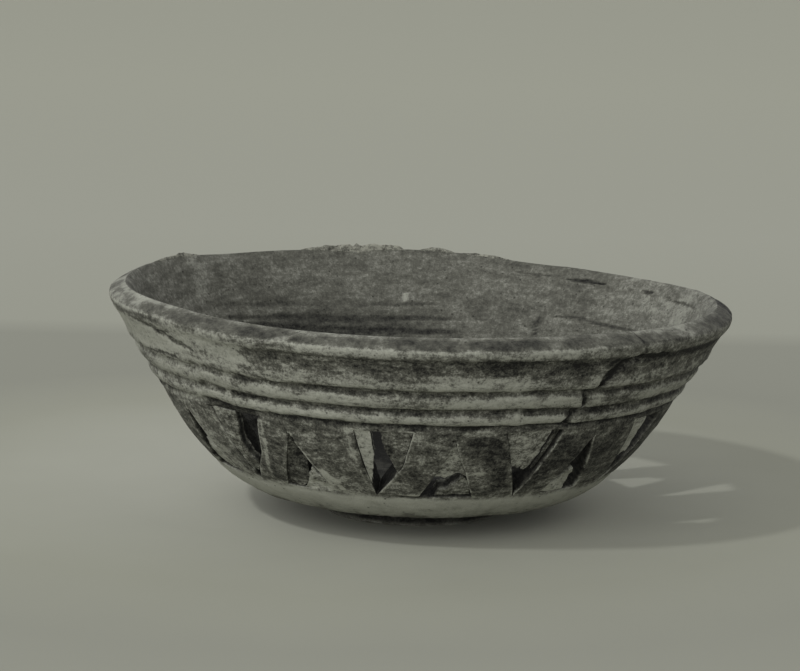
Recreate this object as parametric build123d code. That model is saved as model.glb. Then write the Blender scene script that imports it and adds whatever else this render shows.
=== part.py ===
from build123d import *
import math
import os

# A thrown and mended bowl: ribbed flaring wall, band of triangular windows, rounded ledge, foot ring.
# Millimetres, +Z up, the camera side is -Y, and the origin is the middle of the base of the whole.

# Heights from the table upwards, as the potter stacks them
foot_height = 4.6
belly_rise = 2.3
ledge_rise = 6.8
band_rise = 19.7
band_border = 1.5
rib_rises = [2.6, 3.2, 3.8]
groove_rises = [1.9, 1.8, 4.1]
edge_rise = 2.8
lip_rise = 2.1

# Radii and diameters
rim_diameter = 160.0
lip_width = 4.0
lip_roll = 1.9
mouth_drop_share = 0.75
lip_bulge_share = 0.7
lip_bulge_rise_share = 0.67
band_top_diameter = 133.4
band_foot_diameter = 104.2
belly_diameter = 85.2
foot_diameter = 47.0
foot_ring_width = 4.2
foot_taper = 0.5
floor_diameter = 64.0

# Walls, relief and clearances
wall_thickness = 5.6
floor_thickness = 5.4
floor_dish = 0.6
floor_bend_run_share = 0.67
floor_bend_rise_share = 0.42
rib_crown = 0.45
groove_depth = 0.7
groove_side = 0.35
ledge_swell = 0.7
mend_gap = 0.2
bedding_gap = 0.2
cut_overrun = 12.0

# The whole wall leans a little to the right on its foot, which is worn level
lean_angle = 0.9
foot_wear = 0.6

# Windows: width and height are measured on the slope of the band
down_window_width = 15.4
down_window_height = 24.4
up_window_width = 13.4
up_window_height = 20.4
window_border = 0.3
pane_depth = 0.8
pane_thickness = 1.8
sill_depth = 0.9
sill_thickness = 3.6

# Windows that point down: azimuth of the middle in degrees, width share, tip share, bow of the right side
down_window_shares = [
    (-41.9, 1.00, 0.28, 0.12),
    (-6.8, 0.94, 0.32, 0.13),
    (25.7, 1.00, 0.59, 0.00),
    (60.4, 0.98, 0.53, 0.03),
    (97.2, 0.97, 0.44, 0.05),
    (134.0, 1.00, 0.52, 0.00),
    (170.8, 0.95, 0.41, 0.06),
    (207.6, 0.99, 0.56, 0.02),
    (244.4, 0.96, 0.36, 0.10),
    (281.2, 1.00, 0.47, 0.04),
]
# Windows that point up: azimuth of the middle in degrees, width share, tip share, bow of the right side
up_window_shares = [
    (-27.8, 1.08, 0.48, 0.00),
    (8.4, 0.99, 0.50, 0.02),
    (42.1, 0.95, 0.45, 0.03),
    (78.8, 0.98, 0.52, 0.00),
    (115.6, 1.02, 0.46, 0.02),
    (152.4, 0.96, 0.55, 0.00),
    (189.2, 1.00, 0.50, 0.02),
    (226.0, 1.04, 0.44, 0.03),
    (262.8, 0.97, 0.51, 0.00),
    (299.6, 1.00, 0.47, 0.02),
]

# What is left of the plates, by the window's number and by part, as shares of the window's width and height
# from its lower left
down_pane_shares = {
    1: {
        "left": [(-0.1, 1.1), (0.62, 1.1), (0.60, 0.90), (0.66, 0.68), (0.52, 0.50), (0.47, 0.30),
                 (0.40, 0.16), (0.30, -0.1), (-0.1, -0.1)],
    },
    2: {
        "left": [(-0.1, 1.1), (0.29, 1.1), (0.30, 0.84), (0.32, 0.62), (0.30, 0.40), (0.27, 0.22),
                 (-0.1, 0.22)],
        "right": [(0.45, 1.1), (0.47, 0.90), (0.52, 0.73), (0.60, 0.62), (0.66, 0.50), (0.72, 0.38),
                  (1.1, 0.38), (1.1, 1.1)],
    },
    3: {
        "left": [(-0.1, 1.1), (0.78, 1.1), (0.74, 0.86), (0.68, 0.68), (0.60, 0.52), (0.52, 0.44),
                 (0.44, 0.45), (-0.1, 0.52)],
        "right": [(0.90, 1.1), (0.86, 0.80), (0.78, 0.58), (0.72, 0.40), (1.1, 0.40), (1.1, 1.1)],
    },
    4: {
        "top": [(-0.1, 1.1), (0.46, 1.1), (0.42, 0.84), (0.47, 0.66), (0.36, 0.52), (-0.1, 0.50)],
    },
    5: {
        "left": [(-0.1, 1.1), (0.36, 1.1), (0.34, 0.76), (0.41, 0.55), (0.36, 0.34), (-0.1, 0.30)],
    },
    7: {
        "top": [(-0.1, 1.1), (1.1, 1.1), (1.1, 0.72), (0.72, 0.66), (0.58, 0.74), (0.40, 0.58),
                (-0.1, 0.62)],
    },
    8: {
        "right": [(0.58, 1.1), (0.55, 0.82), (0.64, 0.60), (0.60, 0.38), (1.1, 0.34), (1.1, 1.1)],
    },
    10: {
        "left": [(-0.1, 1.1), (0.52, 1.1), (0.46, 0.80), (0.50, 0.56), (0.42, 0.30), (-0.1, 0.26)],
    },
}
up_pane_shares = {
    1: {
        "top": [(-0.1, 0.46), (0.22, 0.42), (0.40, 0.50), (0.56, 0.60), (0.74, 0.70), (1.1, 0.74),
                (1.1, 1.1), (-0.1, 1.1)],
        "sill": [(0.36, -0.1), (0.42, 0.12), (0.52, 0.30), (0.62, 0.44), (0.70, 0.36), (0.84, 0.20),
                 (1.1, 0.16), (1.1, -0.1)],
    },
    2: {
        "top": [(-0.1, 0.44), (0.26, 0.42), (0.38, 0.45), (0.52, 0.53), (0.66, 0.55), (0.76, 0.50),
                (1.1, 0.46), (1.1, 1.1), (-0.1, 1.1)],
        "sill": [(0.18, -0.1), (0.24, 0.13), (0.38, 0.28), (0.50, 0.30), (0.60, 0.18), (0.74, 0.26),
                 (0.90, 0.12), (0.93, -0.1)],
    },
    3: {
        "sill": [(-0.1, -0.1), (-0.1, 0.22), (0.26, 0.34), (0.40, 0.52), (0.50, 0.44), (0.58, 0.22),
                 (0.66, -0.1)],
    },
    4: {
        "whole": [(-0.1, -0.1), (1.1, -0.1), (1.1, 1.1), (-0.1, 1.1)],
    },
    5: {
        "top": [(-0.1, 0.60), (0.34, 0.58), (0.52, 0.66), (0.70, 0.54), (1.1, 0.56), (1.1, 1.1),
                (-0.1, 1.1)],
    },
    7: {
        "sill": [(-0.1, -0.1), (-0.1, 0.34), (0.30, 0.38), (0.48, 0.26), (0.66, 0.34), (1.1, 0.22),
                 (1.1, -0.1)],
    },
    8: {
        "top": [(-0.1, 0.50), (0.30, 0.52), (0.46, 0.44), (0.62, 0.56), (1.1, 0.60), (1.1, 1.1),
                (-0.1, 1.1)],
    },
    10: {
        "sill": [(-0.1, -0.1), (-0.1, 0.44), (0.34, 0.50), (0.46, 0.36), (0.62, 0.30), (0.74, -0.1)],
    },
}

# Joins of the two mended sherds seen from the front: sideways place as a share of the wall's radius at that
# height, negative to the left, and share of the sherd's height
right_join_shares = [(0.5255, 0.0), (0.5328, 0.14), (0.5618, 0.20), (0.5340, 0.395), (0.5868, 0.44),
                     (0.6195, 0.64), (0.6793, 0.795), (0.6586, 1.0)]
left_join_shares = [(-0.5846, 0.0), (-0.5987, 0.17), (-0.5980, 0.47), (-0.6181, 0.61), (-0.5724, 0.77),
                    (-0.4398, 0.90), (-0.3653, 1.0)]
sherd_foot_share = 0.85
# Behind the middle both sherds end inside a window that points down: its place in the list, counted from 0, and
# the end's distance past the window's middle as a share of its width
end_window_place = 4
sherd_end_share = 0.348157

# Crusts on the lip, each a run of lumps: azimuth of its start in degrees, and for each lump its sweep in
# degrees, its share of the crust's thickness and its share of the lip's width
crust_thickness = 1.7
crust_gap = 0.15
crust_crown_share = 0.33
crust_shares = {
    "left": (-127.0, [(4.0, 0.30, 0.60), (6.0, 0.60, 0.80), (4.0, 0.45, 0.70), (3.0, 0.25, 0.50)]),
    "back_left": (-176.5, [(4.5, 0.75, 0.60), (5.0, 1.00, 0.80), (5.0, 0.90, 0.95), (5.0, 0.70, 0.80),
                           (4.0, 0.40, 0.60)]),
    "back_middle": (173.0, [(2.0, 0.35, 0.50), (4.0, 0.65, 0.75), (1.5, 0.40, 0.60)]),
    "back_right": (160.5, [(4.0, 0.25, 0.60), (4.0, 0.40, 0.85), (3.0, 0.30, 0.70)]),
}

# Worked-out radii and heights
rim_radius = rim_diameter / 2
crest_radius = rim_radius - lip_width
band_top_radius = band_top_diameter / 2
band_foot_radius = band_foot_diameter / 2
belly_radius = belly_diameter / 2
foot_radius = foot_diameter / 2
floor_radius = floor_diameter / 2
belly_height = foot_height + belly_rise
band_foot_height = belly_height + ledge_rise
band_top_height = band_foot_height + band_rise
ribs_foot_height = band_top_height + band_border
edge_foot_height = ribs_foot_height + sum(rib_rises) + sum(groove_rises)
edge_top_height = edge_foot_height + edge_rise
crest_height = edge_top_height + lip_rise
floor_height = foot_height + floor_thickness

# Slope of the pierced band, and its unit directions in the plane of radius and height
band_run = band_top_radius - band_foot_radius
band_slope_length = math.hypot(band_run, band_rise)
slope_run_share = band_run / band_slope_length
slope_rise_share = band_rise / band_slope_length
wall_run = wall_thickness / slope_rise_share
down_window_base = band_slope_length / 2 - window_border - down_window_height
up_window_base = window_border - band_slope_length / 2

# Both rim sherds end on one plane behind the middle
band_middle_radius = (band_top_radius + band_foot_radius) / 2
end_window_middle = -band_middle_radius * math.cos(math.radians(down_window_shares[end_window_place][0]))
sherd_end = end_window_middle + down_window_width * sherd_end_share


def wall_radius(height):
    """Radius of the plain outer wall, without ribs, at a height above the table."""
    if height < band_top_height:
        share = (height - band_foot_height) / band_rise
        return band_foot_radius + share * (band_top_radius - band_foot_radius)
    share = (height - band_top_height) / (edge_foot_height - band_top_height)
    return band_top_radius + share * (rim_radius - band_top_radius)


def wall_point(height, relief):
    """Point on the outer wall at a height, moved outwards from the plain wall by its relief."""
    return (wall_radius(height) + relief, height)


def ribbed_outline():
    """Edges of the outside from the top of the band up to the foot of the worn edge."""
    edges = []
    start = (band_top_radius, band_top_height)
    height = ribs_foot_height
    for rib_rise, groove_rise in zip(rib_rises, groove_rises):
        groove_end = wall_point(height - groove_side, -groove_depth)
        rib_foot = wall_point(height, 0)
        rib_middle = wall_point(height + rib_rise / 2, rib_crown)
        rib_top = wall_point(height + rib_rise, 0)
        next_groove = wall_point(height + rib_rise + groove_side, -groove_depth)
        edges.append(Line(start, groove_end))
        edges.append(Line(groove_end, rib_foot))
        edges.append(ThreePointArc(rib_foot, rib_middle, rib_top))
        edges.append(Line(rib_top, next_groove))
        start = next_groove
        height += rib_rise + groove_rise
    groove_end = wall_point(edge_foot_height - groove_side, -groove_depth)
    edges.append(Line(start, groove_end))
    edges.append(Line(groove_end, (rim_radius - rib_crown, edge_foot_height)))
    return edges


def wall_outline():
    """Closed outline of the wall in the plane of radius and height, from the axis round to the axis."""
    underside = [
        Line((0, foot_height), (foot_radius, foot_height)),
        Line((foot_radius, foot_height), (belly_radius, belly_height)),
    ]
    belly_middle = (
        (belly_radius + band_foot_radius) / 2 + ledge_swell * slope_rise_share,
        (belly_height + band_foot_height) / 2 - ledge_swell * slope_run_share,
    )
    ledge = [
        ThreePointArc((belly_radius, belly_height), belly_middle, (band_foot_radius, band_foot_height)),
        Line((band_foot_radius, band_foot_height), (band_top_radius, band_top_height)),
    ]
    edge_foot = (rim_radius - rib_crown, edge_foot_height)
    edge_middle = (rim_radius, edge_foot_height + edge_rise / 2)
    edge_top = (rim_radius - rib_crown, edge_top_height)
    crest = (crest_radius, crest_height)
    mouth_height = crest_height - lip_rise * mouth_drop_share
    mouth = (crest_radius - lip_roll, mouth_height)
    crest_middle = (
        crest_radius - lip_roll * lip_bulge_share,
        mouth_height + (crest_height - mouth_height) * lip_bulge_rise_share,
    )
    lip = [
        ThreePointArc(edge_foot, edge_middle, edge_top),
        Line(edge_top, crest),
        ThreePointArc(crest, crest_middle, mouth),
    ]
    inner_band_top = (band_top_radius - wall_run, band_top_height)
    inner_band_foot = (band_foot_radius - wall_run, band_foot_height)
    floor_edge = (floor_radius, floor_height + floor_dish)
    bend = (
        floor_radius + (inner_band_foot[0] - floor_radius) * floor_bend_run_share,
        floor_edge[1] + (band_foot_height - floor_edge[1]) * floor_bend_rise_share,
    )
    inside = [
        Line(mouth, inner_band_top),
        Line(inner_band_top, inner_band_foot),
        ThreePointArc(inner_band_foot, bend, floor_edge),
        Line(floor_edge, (0, floor_height)),
        Line((0, floor_height), (0, foot_height)),
    ]
    return underside + ledge + ribbed_outline() + lip + inside


def turned(edges):
    """Solid of revolution about the bowl's axis from edges drawn as (radius, height)."""
    face = make_face(Plane.XZ * (Curve() + edges))
    return revolve(face, Axis.Z, 360)


def window_plane(azimuth):
    """Plane on the slope of the band at an azimuth: x along the band, y up the slope, z outwards."""
    angle = math.radians(azimuth)
    height = (band_top_height + band_foot_height) / 2
    outward = (math.sin(angle), -math.cos(angle))
    return Plane(
        origin=(band_middle_radius * outward[0], band_middle_radius * outward[1], height),
        x_dir=(math.cos(angle), math.sin(angle), 0),
        z_dir=(slope_rise_share * outward[0], slope_rise_share * outward[1], -slope_run_share),
    )


def placed_points(share_points, width, height, base):
    """Points on the band's slope from shares of a window's width and height, its base at a height."""
    return [((u - 0.5) * width, base + v * height) for u, v in share_points]


def down_window_outline(width_share, tip_share, bow_share):
    """Outline of a window that points down, as points on the band's slope."""
    shares = [(0, 1), (tip_share / 2, 0.5), (tip_share, 0), ((1 + tip_share) / 2 + bow_share, 0.5), (1, 1)]
    return placed_points(shares, down_window_width * width_share, down_window_height, down_window_base)


def up_window_outline(width_share, tip_share, bow_share):
    """Outline of a window that points up, as points on the band's slope."""
    shares = [(0, 0), (1, 0), ((1 + tip_share) / 2 + bow_share, 0.5), (tip_share, 1), (tip_share / 2, 0.5)]
    return placed_points(shares, up_window_width * width_share, up_window_height, up_window_base)


def flat_shape(points):
    """Face in the XY plane from a closed ring of points."""
    return make_face(Polyline(*points, close=True))


def through_band(face, plane):
    """Prism of a face on the band's slope, long enough to pass right through the wall."""
    return extrude(plane * face, amount=wall_thickness + cut_overrun, both=True)


def band_shell(depth, thickness):
    """Thin cone that lies in the band's wall at a depth below its outside."""
    def inward(radius, height, distance):
        return (radius - distance * slope_rise_share, height + distance * slope_run_share)

    run_over = slope_run_share * cut_overrun
    rise_over = slope_rise_share * cut_overrun
    low = (band_foot_radius - run_over, band_foot_height - rise_over)
    high = (band_top_radius + run_over, band_top_height + rise_over)
    corners = [
        inward(*low, depth),
        inward(*high, depth),
        inward(*high, depth + thickness),
        inward(*low, depth + thickness),
    ]
    return turned([Line(a, b) for a, b in zip(corners, corners[1:] + corners[:1])])


def pane(window_points, pane_points, plane, shell):
    """One broken plate: its outline kept clear of the window's sides, as thick as the shell."""
    opening = offset(flat_shape(window_points), amount=-bedding_gap, kind=Kind.INTERSECTION)
    return through_band(opening & flat_shape(pane_points), plane) & shell


def sherd_block(join_shares, side, inset):
    """Block that holds a mended sherd, its sides drawn in by an inset. Side is 1 for right, -1 for left."""
    sherd_foot = band_top_height + band_border * sherd_foot_share
    sherd_rise = crest_height - sherd_foot
    far = side * (rim_radius + cut_overrun)
    points = []
    for sideways_share, height_share in join_shares:
        height = sherd_foot + height_share * sherd_rise
        points.append((sideways_share * wall_radius(height), height))
    top_x = points[-1][0]
    top_height = crest_height + cut_overrun
    outline = points + [(top_x, top_height), (far, top_height), (far, sherd_foot)]
    face = flat_shape(outline)
    if inset:
        face = offset(face, amount=-inset, kind=Kind.INTERSECTION)
    back = sherd_end - inset
    front = -(rim_radius + cut_overrun)
    drawn = Plane(origin=(0, back, 0), x_dir=(1, 0, 0), z_dir=(0, -1, 0)) * face
    return extrude(drawn, amount=back - front)


def crust_lump(start, sweep, thickness_share, spread_share):
    """One lump of crust that rides over the lip between two azimuths."""
    rise = crust_thickness * thickness_share
    reach = lip_width * spread_share
    drop = lip_rise * reach / lip_width
    outer_toe = (crest_radius + reach, crest_height - drop)
    crown_outer = (crest_radius + reach * crust_crown_share, crest_height + rise)
    crown_inner = (crest_radius - lip_roll / 2, crest_height + rise)
    inner_toe = (crest_radius - lip_roll, crest_height - lip_rise / 2)
    core = (crest_radius, crest_height - lip_rise)
    ring = [outer_toe, crown_outer, crown_inner, inner_toe, core]
    face = make_face(Plane.XZ * Polyline(*ring, close=True))
    return Rot(0, 0, start - 90) * revolve(face, Axis.Z, sweep)


def crust(start, lumps, wall):
    """A crust on the lip: lumps side by side from a first azimuth, bedded just clear of the wall."""
    joined = crust_lump(start, *lumps[0])
    azimuth = start
    for before, lump in zip(lumps, lumps[1:]):
        azimuth += before[0]
        joined += crust_lump(azimuth, *lump)
    return Pos(0, 0, crust_gap) * (joined - wall)


def foot_ring():
    """The luted ring under the bowl, a little deeper than the foot so that it can be worn level."""
    inner = foot_radius - foot_ring_width
    corners = [
        (foot_radius, foot_height),
        (foot_radius - foot_taper, -foot_wear),
        (inner + foot_taper, -foot_wear),
        (inner, foot_height),
    ]
    return turned([Line(a, b) for a, b in zip(corners, corners[1:] + corners[:1])])


def leaned(shape):
    """A shape tipped with the whole wall, to the right about the middle of the foot."""
    return Rot(0, lean_angle, 0) * shape


pieces = {}
plain_wall = turned(wall_outline())
pane_shell = band_shell(pane_depth, pane_thickness)
sill_shell = band_shell(sill_depth, sill_thickness)

pierced_wall = plain_wall
window_sets = [
    ("down", down_window_shares, down_window_outline, down_pane_shares,
     (down_window_width, down_window_height, down_window_base)),
    ("up", up_window_shares, up_window_outline, up_pane_shares,
     (up_window_width, up_window_height, up_window_base)),
]
for kind, window_shares, outline, pane_shares, (width, height, base) in window_sets:
    for number, (azimuth, width_share, tip_share, bow_share) in enumerate(window_shares, start=1):
        plane = window_plane(azimuth)
        window_points = outline(width_share, tip_share, bow_share)
        pierced_wall -= through_band(flat_shape(window_points), plane)
        for part, shares in pane_shares.get(number, {}).items():
            shell = sill_shell if part == "sill" else pane_shell
            pane_points = placed_points(shares, width * width_share, height, base)
            pieces[f"pane_{kind}_{number:02d}_{part}"] = pane(window_points, pane_points, plane, shell)

body = pierced_wall
for side_name, join_shares, side in [("left", left_join_shares, -1), ("right", right_join_shares, 1)]:
    body -= sherd_block(join_shares, side, 0)
    pieces[f"rim_sherd_{side_name}"] = pierced_wall & sherd_block(join_shares, side, mend_gap)

for name, (start, lumps) in crust_shares.items():
    pieces[f"crust_{name}"] = crust(start, lumps, plain_wall)

pieces["bowl_body"] = body
pieces["foot_ring"] = foot_ring()

pieces = {name: leaned(shape) for name, shape in pieces.items()}
worn_away = Pos(0, 0, -cut_overrun) * Box(foot_diameter * 2, foot_diameter * 2, cut_overrun * 2)
pieces["foot_ring"] -= worn_away

boxes = [shape.bounding_box() for shape in pieces.values()]
middle_x = (min(box.min.X for box in boxes) + max(box.max.X for box in boxes)) / 2
middle_y = (min(box.min.Y for box in boxes) + max(box.max.Y for box in boxes)) / 2
to_middle = Pos(-middle_x, -middle_y, 0)

os.makedirs("parts", exist_ok=True)
for name, shape in pieces.items():
    export_step(to_middle * shape, f"parts/{name}.step")
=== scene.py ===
"""Looks of a thrown, ribbed and mended bowl with a pierced band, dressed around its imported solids.

Lengths inside the classes are millimetres, in the frame of the upright bowl: +Z up, azimuth 0 towards the
camera and growing to its right. Standing.place warps the rim, leans the bowl on its foot and gives metres.
"""

import logging
import math
from dataclasses import dataclass, field
from enum import Enum
from typing import ClassVar

import bpy
import numpy as np
from mathutils import Matrix, Vector


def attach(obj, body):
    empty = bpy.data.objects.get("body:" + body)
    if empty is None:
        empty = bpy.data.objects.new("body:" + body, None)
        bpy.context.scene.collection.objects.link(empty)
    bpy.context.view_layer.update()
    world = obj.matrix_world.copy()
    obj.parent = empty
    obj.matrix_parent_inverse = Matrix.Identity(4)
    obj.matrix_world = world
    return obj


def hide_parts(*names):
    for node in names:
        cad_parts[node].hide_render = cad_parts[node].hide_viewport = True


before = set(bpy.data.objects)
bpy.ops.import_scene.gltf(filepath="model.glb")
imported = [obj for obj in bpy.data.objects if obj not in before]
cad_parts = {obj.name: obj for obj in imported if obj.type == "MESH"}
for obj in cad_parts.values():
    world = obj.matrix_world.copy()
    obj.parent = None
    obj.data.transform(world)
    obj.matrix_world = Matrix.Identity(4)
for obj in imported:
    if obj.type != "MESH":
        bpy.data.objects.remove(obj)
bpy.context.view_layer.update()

LOG = logging.getLogger("bowl")
MM = 0.001
BODY = "root"
CREASE_DEGREES = 42
# Whole numbers that scatter the lattice's corners, and two that mix their bits
AXIS_PRIMES = (73856093, 19349663, 83492791)
SEED_STEP, SEED_START = 7919, 12345
MIXERS = (0x2C1B3C6D, 0x297A2D39)
LOW_BITS = 0xFFFFFFFF
# Keeps a division by a length that may be nothing in bounds
TINY = 1e-9


class WindowKind(Enum):
    """Which way a triangular window points."""

    DOWN = "down"
    UP = "up"


class Slot(Enum):
    """Material slots of the record; the pieces here take their finishes from FINISHES, not from these."""

    WALL = "slipped_clay"
    FOOT = "foot_clay"
    PLATE = "window_plate"
    CRUST = "lime_crust"


# Shape helpers: every one works on whole arrays


def smooth_step(low: float, high: float, value: np.ndarray) -> np.ndarray:
    """Rise from 0 at low to 1 at high, level at both ends: 3s² - 2s³ of the clipped share s."""
    share = np.clip((value - low) / (high - low), 0, 1)
    return share * share * (3 - 2 * share)


def swell(value: np.ndarray, middle: float, spread: float) -> np.ndarray:
    """Bell of height 1 about a middle: e to the minus square of the distance over the spread."""
    return np.exp(-(((value - middle) / spread) ** 2))


def turned_from(azimuth: np.ndarray, middle: float) -> np.ndarray:
    """Angle in degrees from a middle azimuth, between -180 and 180."""
    return (azimuth - middle + 180) % 360 - 180


def lattice_noise(points: np.ndarray, grain: float, seed: int) -> np.ndarray:
    """Smooth noise, -1 to 1: a random number at each corner of a cubic lattice, blended by smooth steps.

    Args:
        points: array whose last axis is x, y, z.
        grain: side of the lattice, in the points' unit.
        seed: which of the fixed random fields.

    Returns:
        One value for each point.
    """
    scaled = points / grain
    cell = np.floor(scaled).astype(np.int64)
    part = scaled - cell
    blend = part * part * (3 - 2 * part)
    total = np.zeros(points.shape[:-1])
    for corner in np.ndindex(2, 2, 2):
        index = (cell + np.array(corner)) * np.array(AXIS_PRIMES)
        mixed = index[..., 0] ^ index[..., 1] ^ index[..., 2]
        mixed = (mixed ^ (seed * SEED_STEP + SEED_START)) & LOW_BITS
        for shift, mixer in zip((15, 12), MIXERS):
            mixed = ((mixed ^ (mixed >> shift)) * mixer) & LOW_BITS
        value = ((mixed ^ (mixed >> 15)) & 0xFFFF) / 32767.5 - 1
        total += np.prod(np.where(np.array(corner) == 1, blend, 1 - blend), axis=-1) * value
    return total


def layered_noise(points: np.ndarray, grain: float, seed: int, layers: int = 3) -> np.ndarray:
    """Lattice noise in layers, each with half the grain and half the height of the last.

    Args:
        points: array whose last axis is x, y, z.
        grain: side of the coarsest lattice.
        seed: which of the fixed random fields.
        layers: how many layers.

    Returns:
        One value for each point, about -1 to 1.
    """
    total = np.zeros(points.shape[:-1])
    for layer in range(layers):
        total += lattice_noise(points, grain / 2**layer, seed + layer) / 2**layer
    usual_height = 1.5
    return total / usual_height


@dataclass(frozen=True)
class Unevenness:
    """One noise of a surface: its height, its grain in millimetres, its random field and its number of layers.

    Stretched heights make it finer up the wall than along it.
    """

    height: float
    grain: float
    seed: int
    layers: int = 3
    stretch: float = 1.0

    def at(self, points: np.ndarray, seed: int = 0) -> np.ndarray:
        """The noise at points: height times layered noise, of its own random field counted on by a seed."""
        stretched = points * np.array([1, 1, self.stretch])
        return self.height * layered_noise(stretched, self.grain, self.seed + seed, self.layers)

    def shaking(self, points: np.ndarray, seed: int) -> np.ndarray:
        """One such noise for each direction, of neighbouring random fields, to shake points by."""
        return np.stack([self.at(points, seed + axis) for axis in range(3)], -1)


def summed(noises: tuple, points: np.ndarray) -> np.ndarray:
    """Sum of several noises at points."""
    return sum(noise.at(points) for noise in noises)


@dataclass(frozen=True)
class Zone:
    """A part of the wall where a value changes, by a gain that smooth steps or a bell fade out.

    Each fade is a pair of values where a smooth step starts and ends, the higher one first where it falls; where
    they lie a thousandth apart it is a hard edge. The bell is a middle height and a spread.
    """

    gain: float
    azimuths: tuple = ()
    heights: tuple = ()
    bell: tuple = ()

    def at(self, azimuth: np.ndarray, height: np.ndarray) -> np.ndarray:
        """The change at places on the wall: the gain times every fade.

        Args:
            azimuth: azimuths, from -180 to 180.
            height: heights of the same places.

        Returns:
            The change at each place.
        """
        fades = [smooth_step(*pair, azimuth) for pair in self.azimuths]
        fades += [smooth_step(*pair, height) for pair in self.heights]
        fades += [swell(height, *self.bell)] if self.bell else []
        return self.gain * math.prod(fades)


def zoned(zones: tuple, azimuth: np.ndarray, height: np.ndarray) -> np.ndarray:
    """Sum of the changes of several zones."""
    return sum(zone.at(azimuth, height) for zone in zones)


def level_direction(points: np.ndarray) -> np.ndarray:
    """Unit vectors from the upright axis out to points, level: x and y over the distance from the axis."""
    level = points * np.array([1, 1, 0])
    return level / np.maximum(np.linalg.norm(level, axis=-1, keepdims=True), TINY)


def bent_line(start: tuple, middle: tuple, end: tuple, count: int) -> np.ndarray:
    """Points after the start of a quadratic curve through a middle point, at equal steps of its parameter.

    Args:
        start: radius and height of the start, which is left out.
        middle: point at half the parameter.
        end: point at the end.
        count: number of points.

    Returns:
        Array of radius and height, one row for each point.
    """
    a, m, b = np.array(start), np.array(middle), np.array(end)
    t = (np.arange(count) + 1.0)[:, None] / count
    control = 2 * m - (a + b) / 2
    return (1 - t) ** 2 * a + 2 * t * (1 - t) * control + t**2 * b


def halfway(start: tuple, end: tuple) -> tuple:
    """Point halfway between two, for a straight bent_line."""
    return ((start[0] + end[0]) / 2, (start[1] + end[1]) / 2)


def around(radius: np.ndarray, azimuth: np.ndarray, height: np.ndarray) -> np.ndarray:
    """Points from radius, azimuth in degrees and height: x is r sin a, y is -r cos a."""
    angle = np.radians(azimuth)
    return np.stack(np.broadcast_arrays(radius * np.sin(angle), -radius * np.cos(angle), height), axis=-1)


# Meshes


@dataclass
class Shell:
    """A closed surface being gathered: points in millimetres, four-cornered faces and named marks."""

    points: np.ndarray
    quads: np.ndarray
    marks: dict[str, np.ndarray]


def trimmed(shell: Shell) -> Shell:
    """Leave out the points that no face uses.

    Args:
        shell: a shell with spare points.

    Returns:
        The same surface without them.
    """
    used = np.unique(shell.quads)
    place = np.zeros(len(shell.points), np.int64)
    place[used] = np.arange(len(used))
    return Shell(shell.points[used], place[shell.quads], {k: v[used] for k, v in shell.marks.items()})


def rolled_tube(rings: np.ndarray) -> np.ndarray:
    """Faces of a tube from rings of points, closed round each ring and capped at both ends by folded rings.

    Args:
        rings: array of shape rings, points in a ring, 3; each cap joins a ring's points in facing pairs.

    Returns:
        Four-cornered faces as rows of point numbers.
    """
    count, size = rings.shape[:2]
    ids = np.arange(count * size).reshape(count, size)
    ahead = np.roll(ids, -1, axis=1)
    sides = np.stack([ids[:-1], ahead[:-1], ahead[1:], ids[1:]], axis=-1).reshape(-1, 4)
    half = size // 2
    step = np.arange(half)
    caps = []
    for ring, order in ((ids[0], 1), (ids[-1], -1)):
        cap = np.stack([ring[-1 - step], ring[(-2 - step) % size], ring[(step + 1) % size], ring[step]], axis=-1)
        caps.append(cap[: half - 1][:, ::order])
    return np.concatenate([sides, *caps])


def bridged(
    points: np.ndarray, near: np.ndarray, far: np.ndarray, steps: int, rough: Unevenness, seed: int
) -> tuple[np.ndarray, np.ndarray]:
    """Put ladders of shaken points between facing points of a solid's two sides.

    Args:
        points: points of both sides.
        near: numbers of points on one side.
        far: numbers of the points that face them.
        steps: number of steps in each ladder.
        rough: what shakes the points between.
        seed: which random field.

    Returns:
        The points with those between after them, and the point numbers up each ladder.
    """
    share = np.arange(1, steps)[None, :, None] / steps
    start, end = points[near][:, None], points[far][:, None]
    rungs = start + share * (end - start)
    rungs = (rungs + rough.shaking(rungs, seed)).reshape(-1, 3)
    ids = len(points) + np.arange(len(rungs)).reshape(-1, steps - 1)
    return np.concatenate([points, rungs]), np.concatenate([near[:, None], ids, far[:, None]], axis=1)


def split_faces(quads: np.ndarray) -> tuple[np.ndarray, np.ndarray]:
    """Part the faces into full ones and those that have the same point at two corners in a row.

    Args:
        quads: rows of four point numbers.

    Returns:
        The full faces, and the others as triangles.
    """
    same = quads == np.roll(quads, -1, axis=1)
    count = same.sum(axis=1)
    thin = quads[count == 1]
    kept = np.ones_like(thin, bool)
    kept[np.arange(len(thin)), np.argmax(same[count == 1], axis=1)] = False
    return quads[count == 0], thin[kept].reshape(-1, 3)


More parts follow.
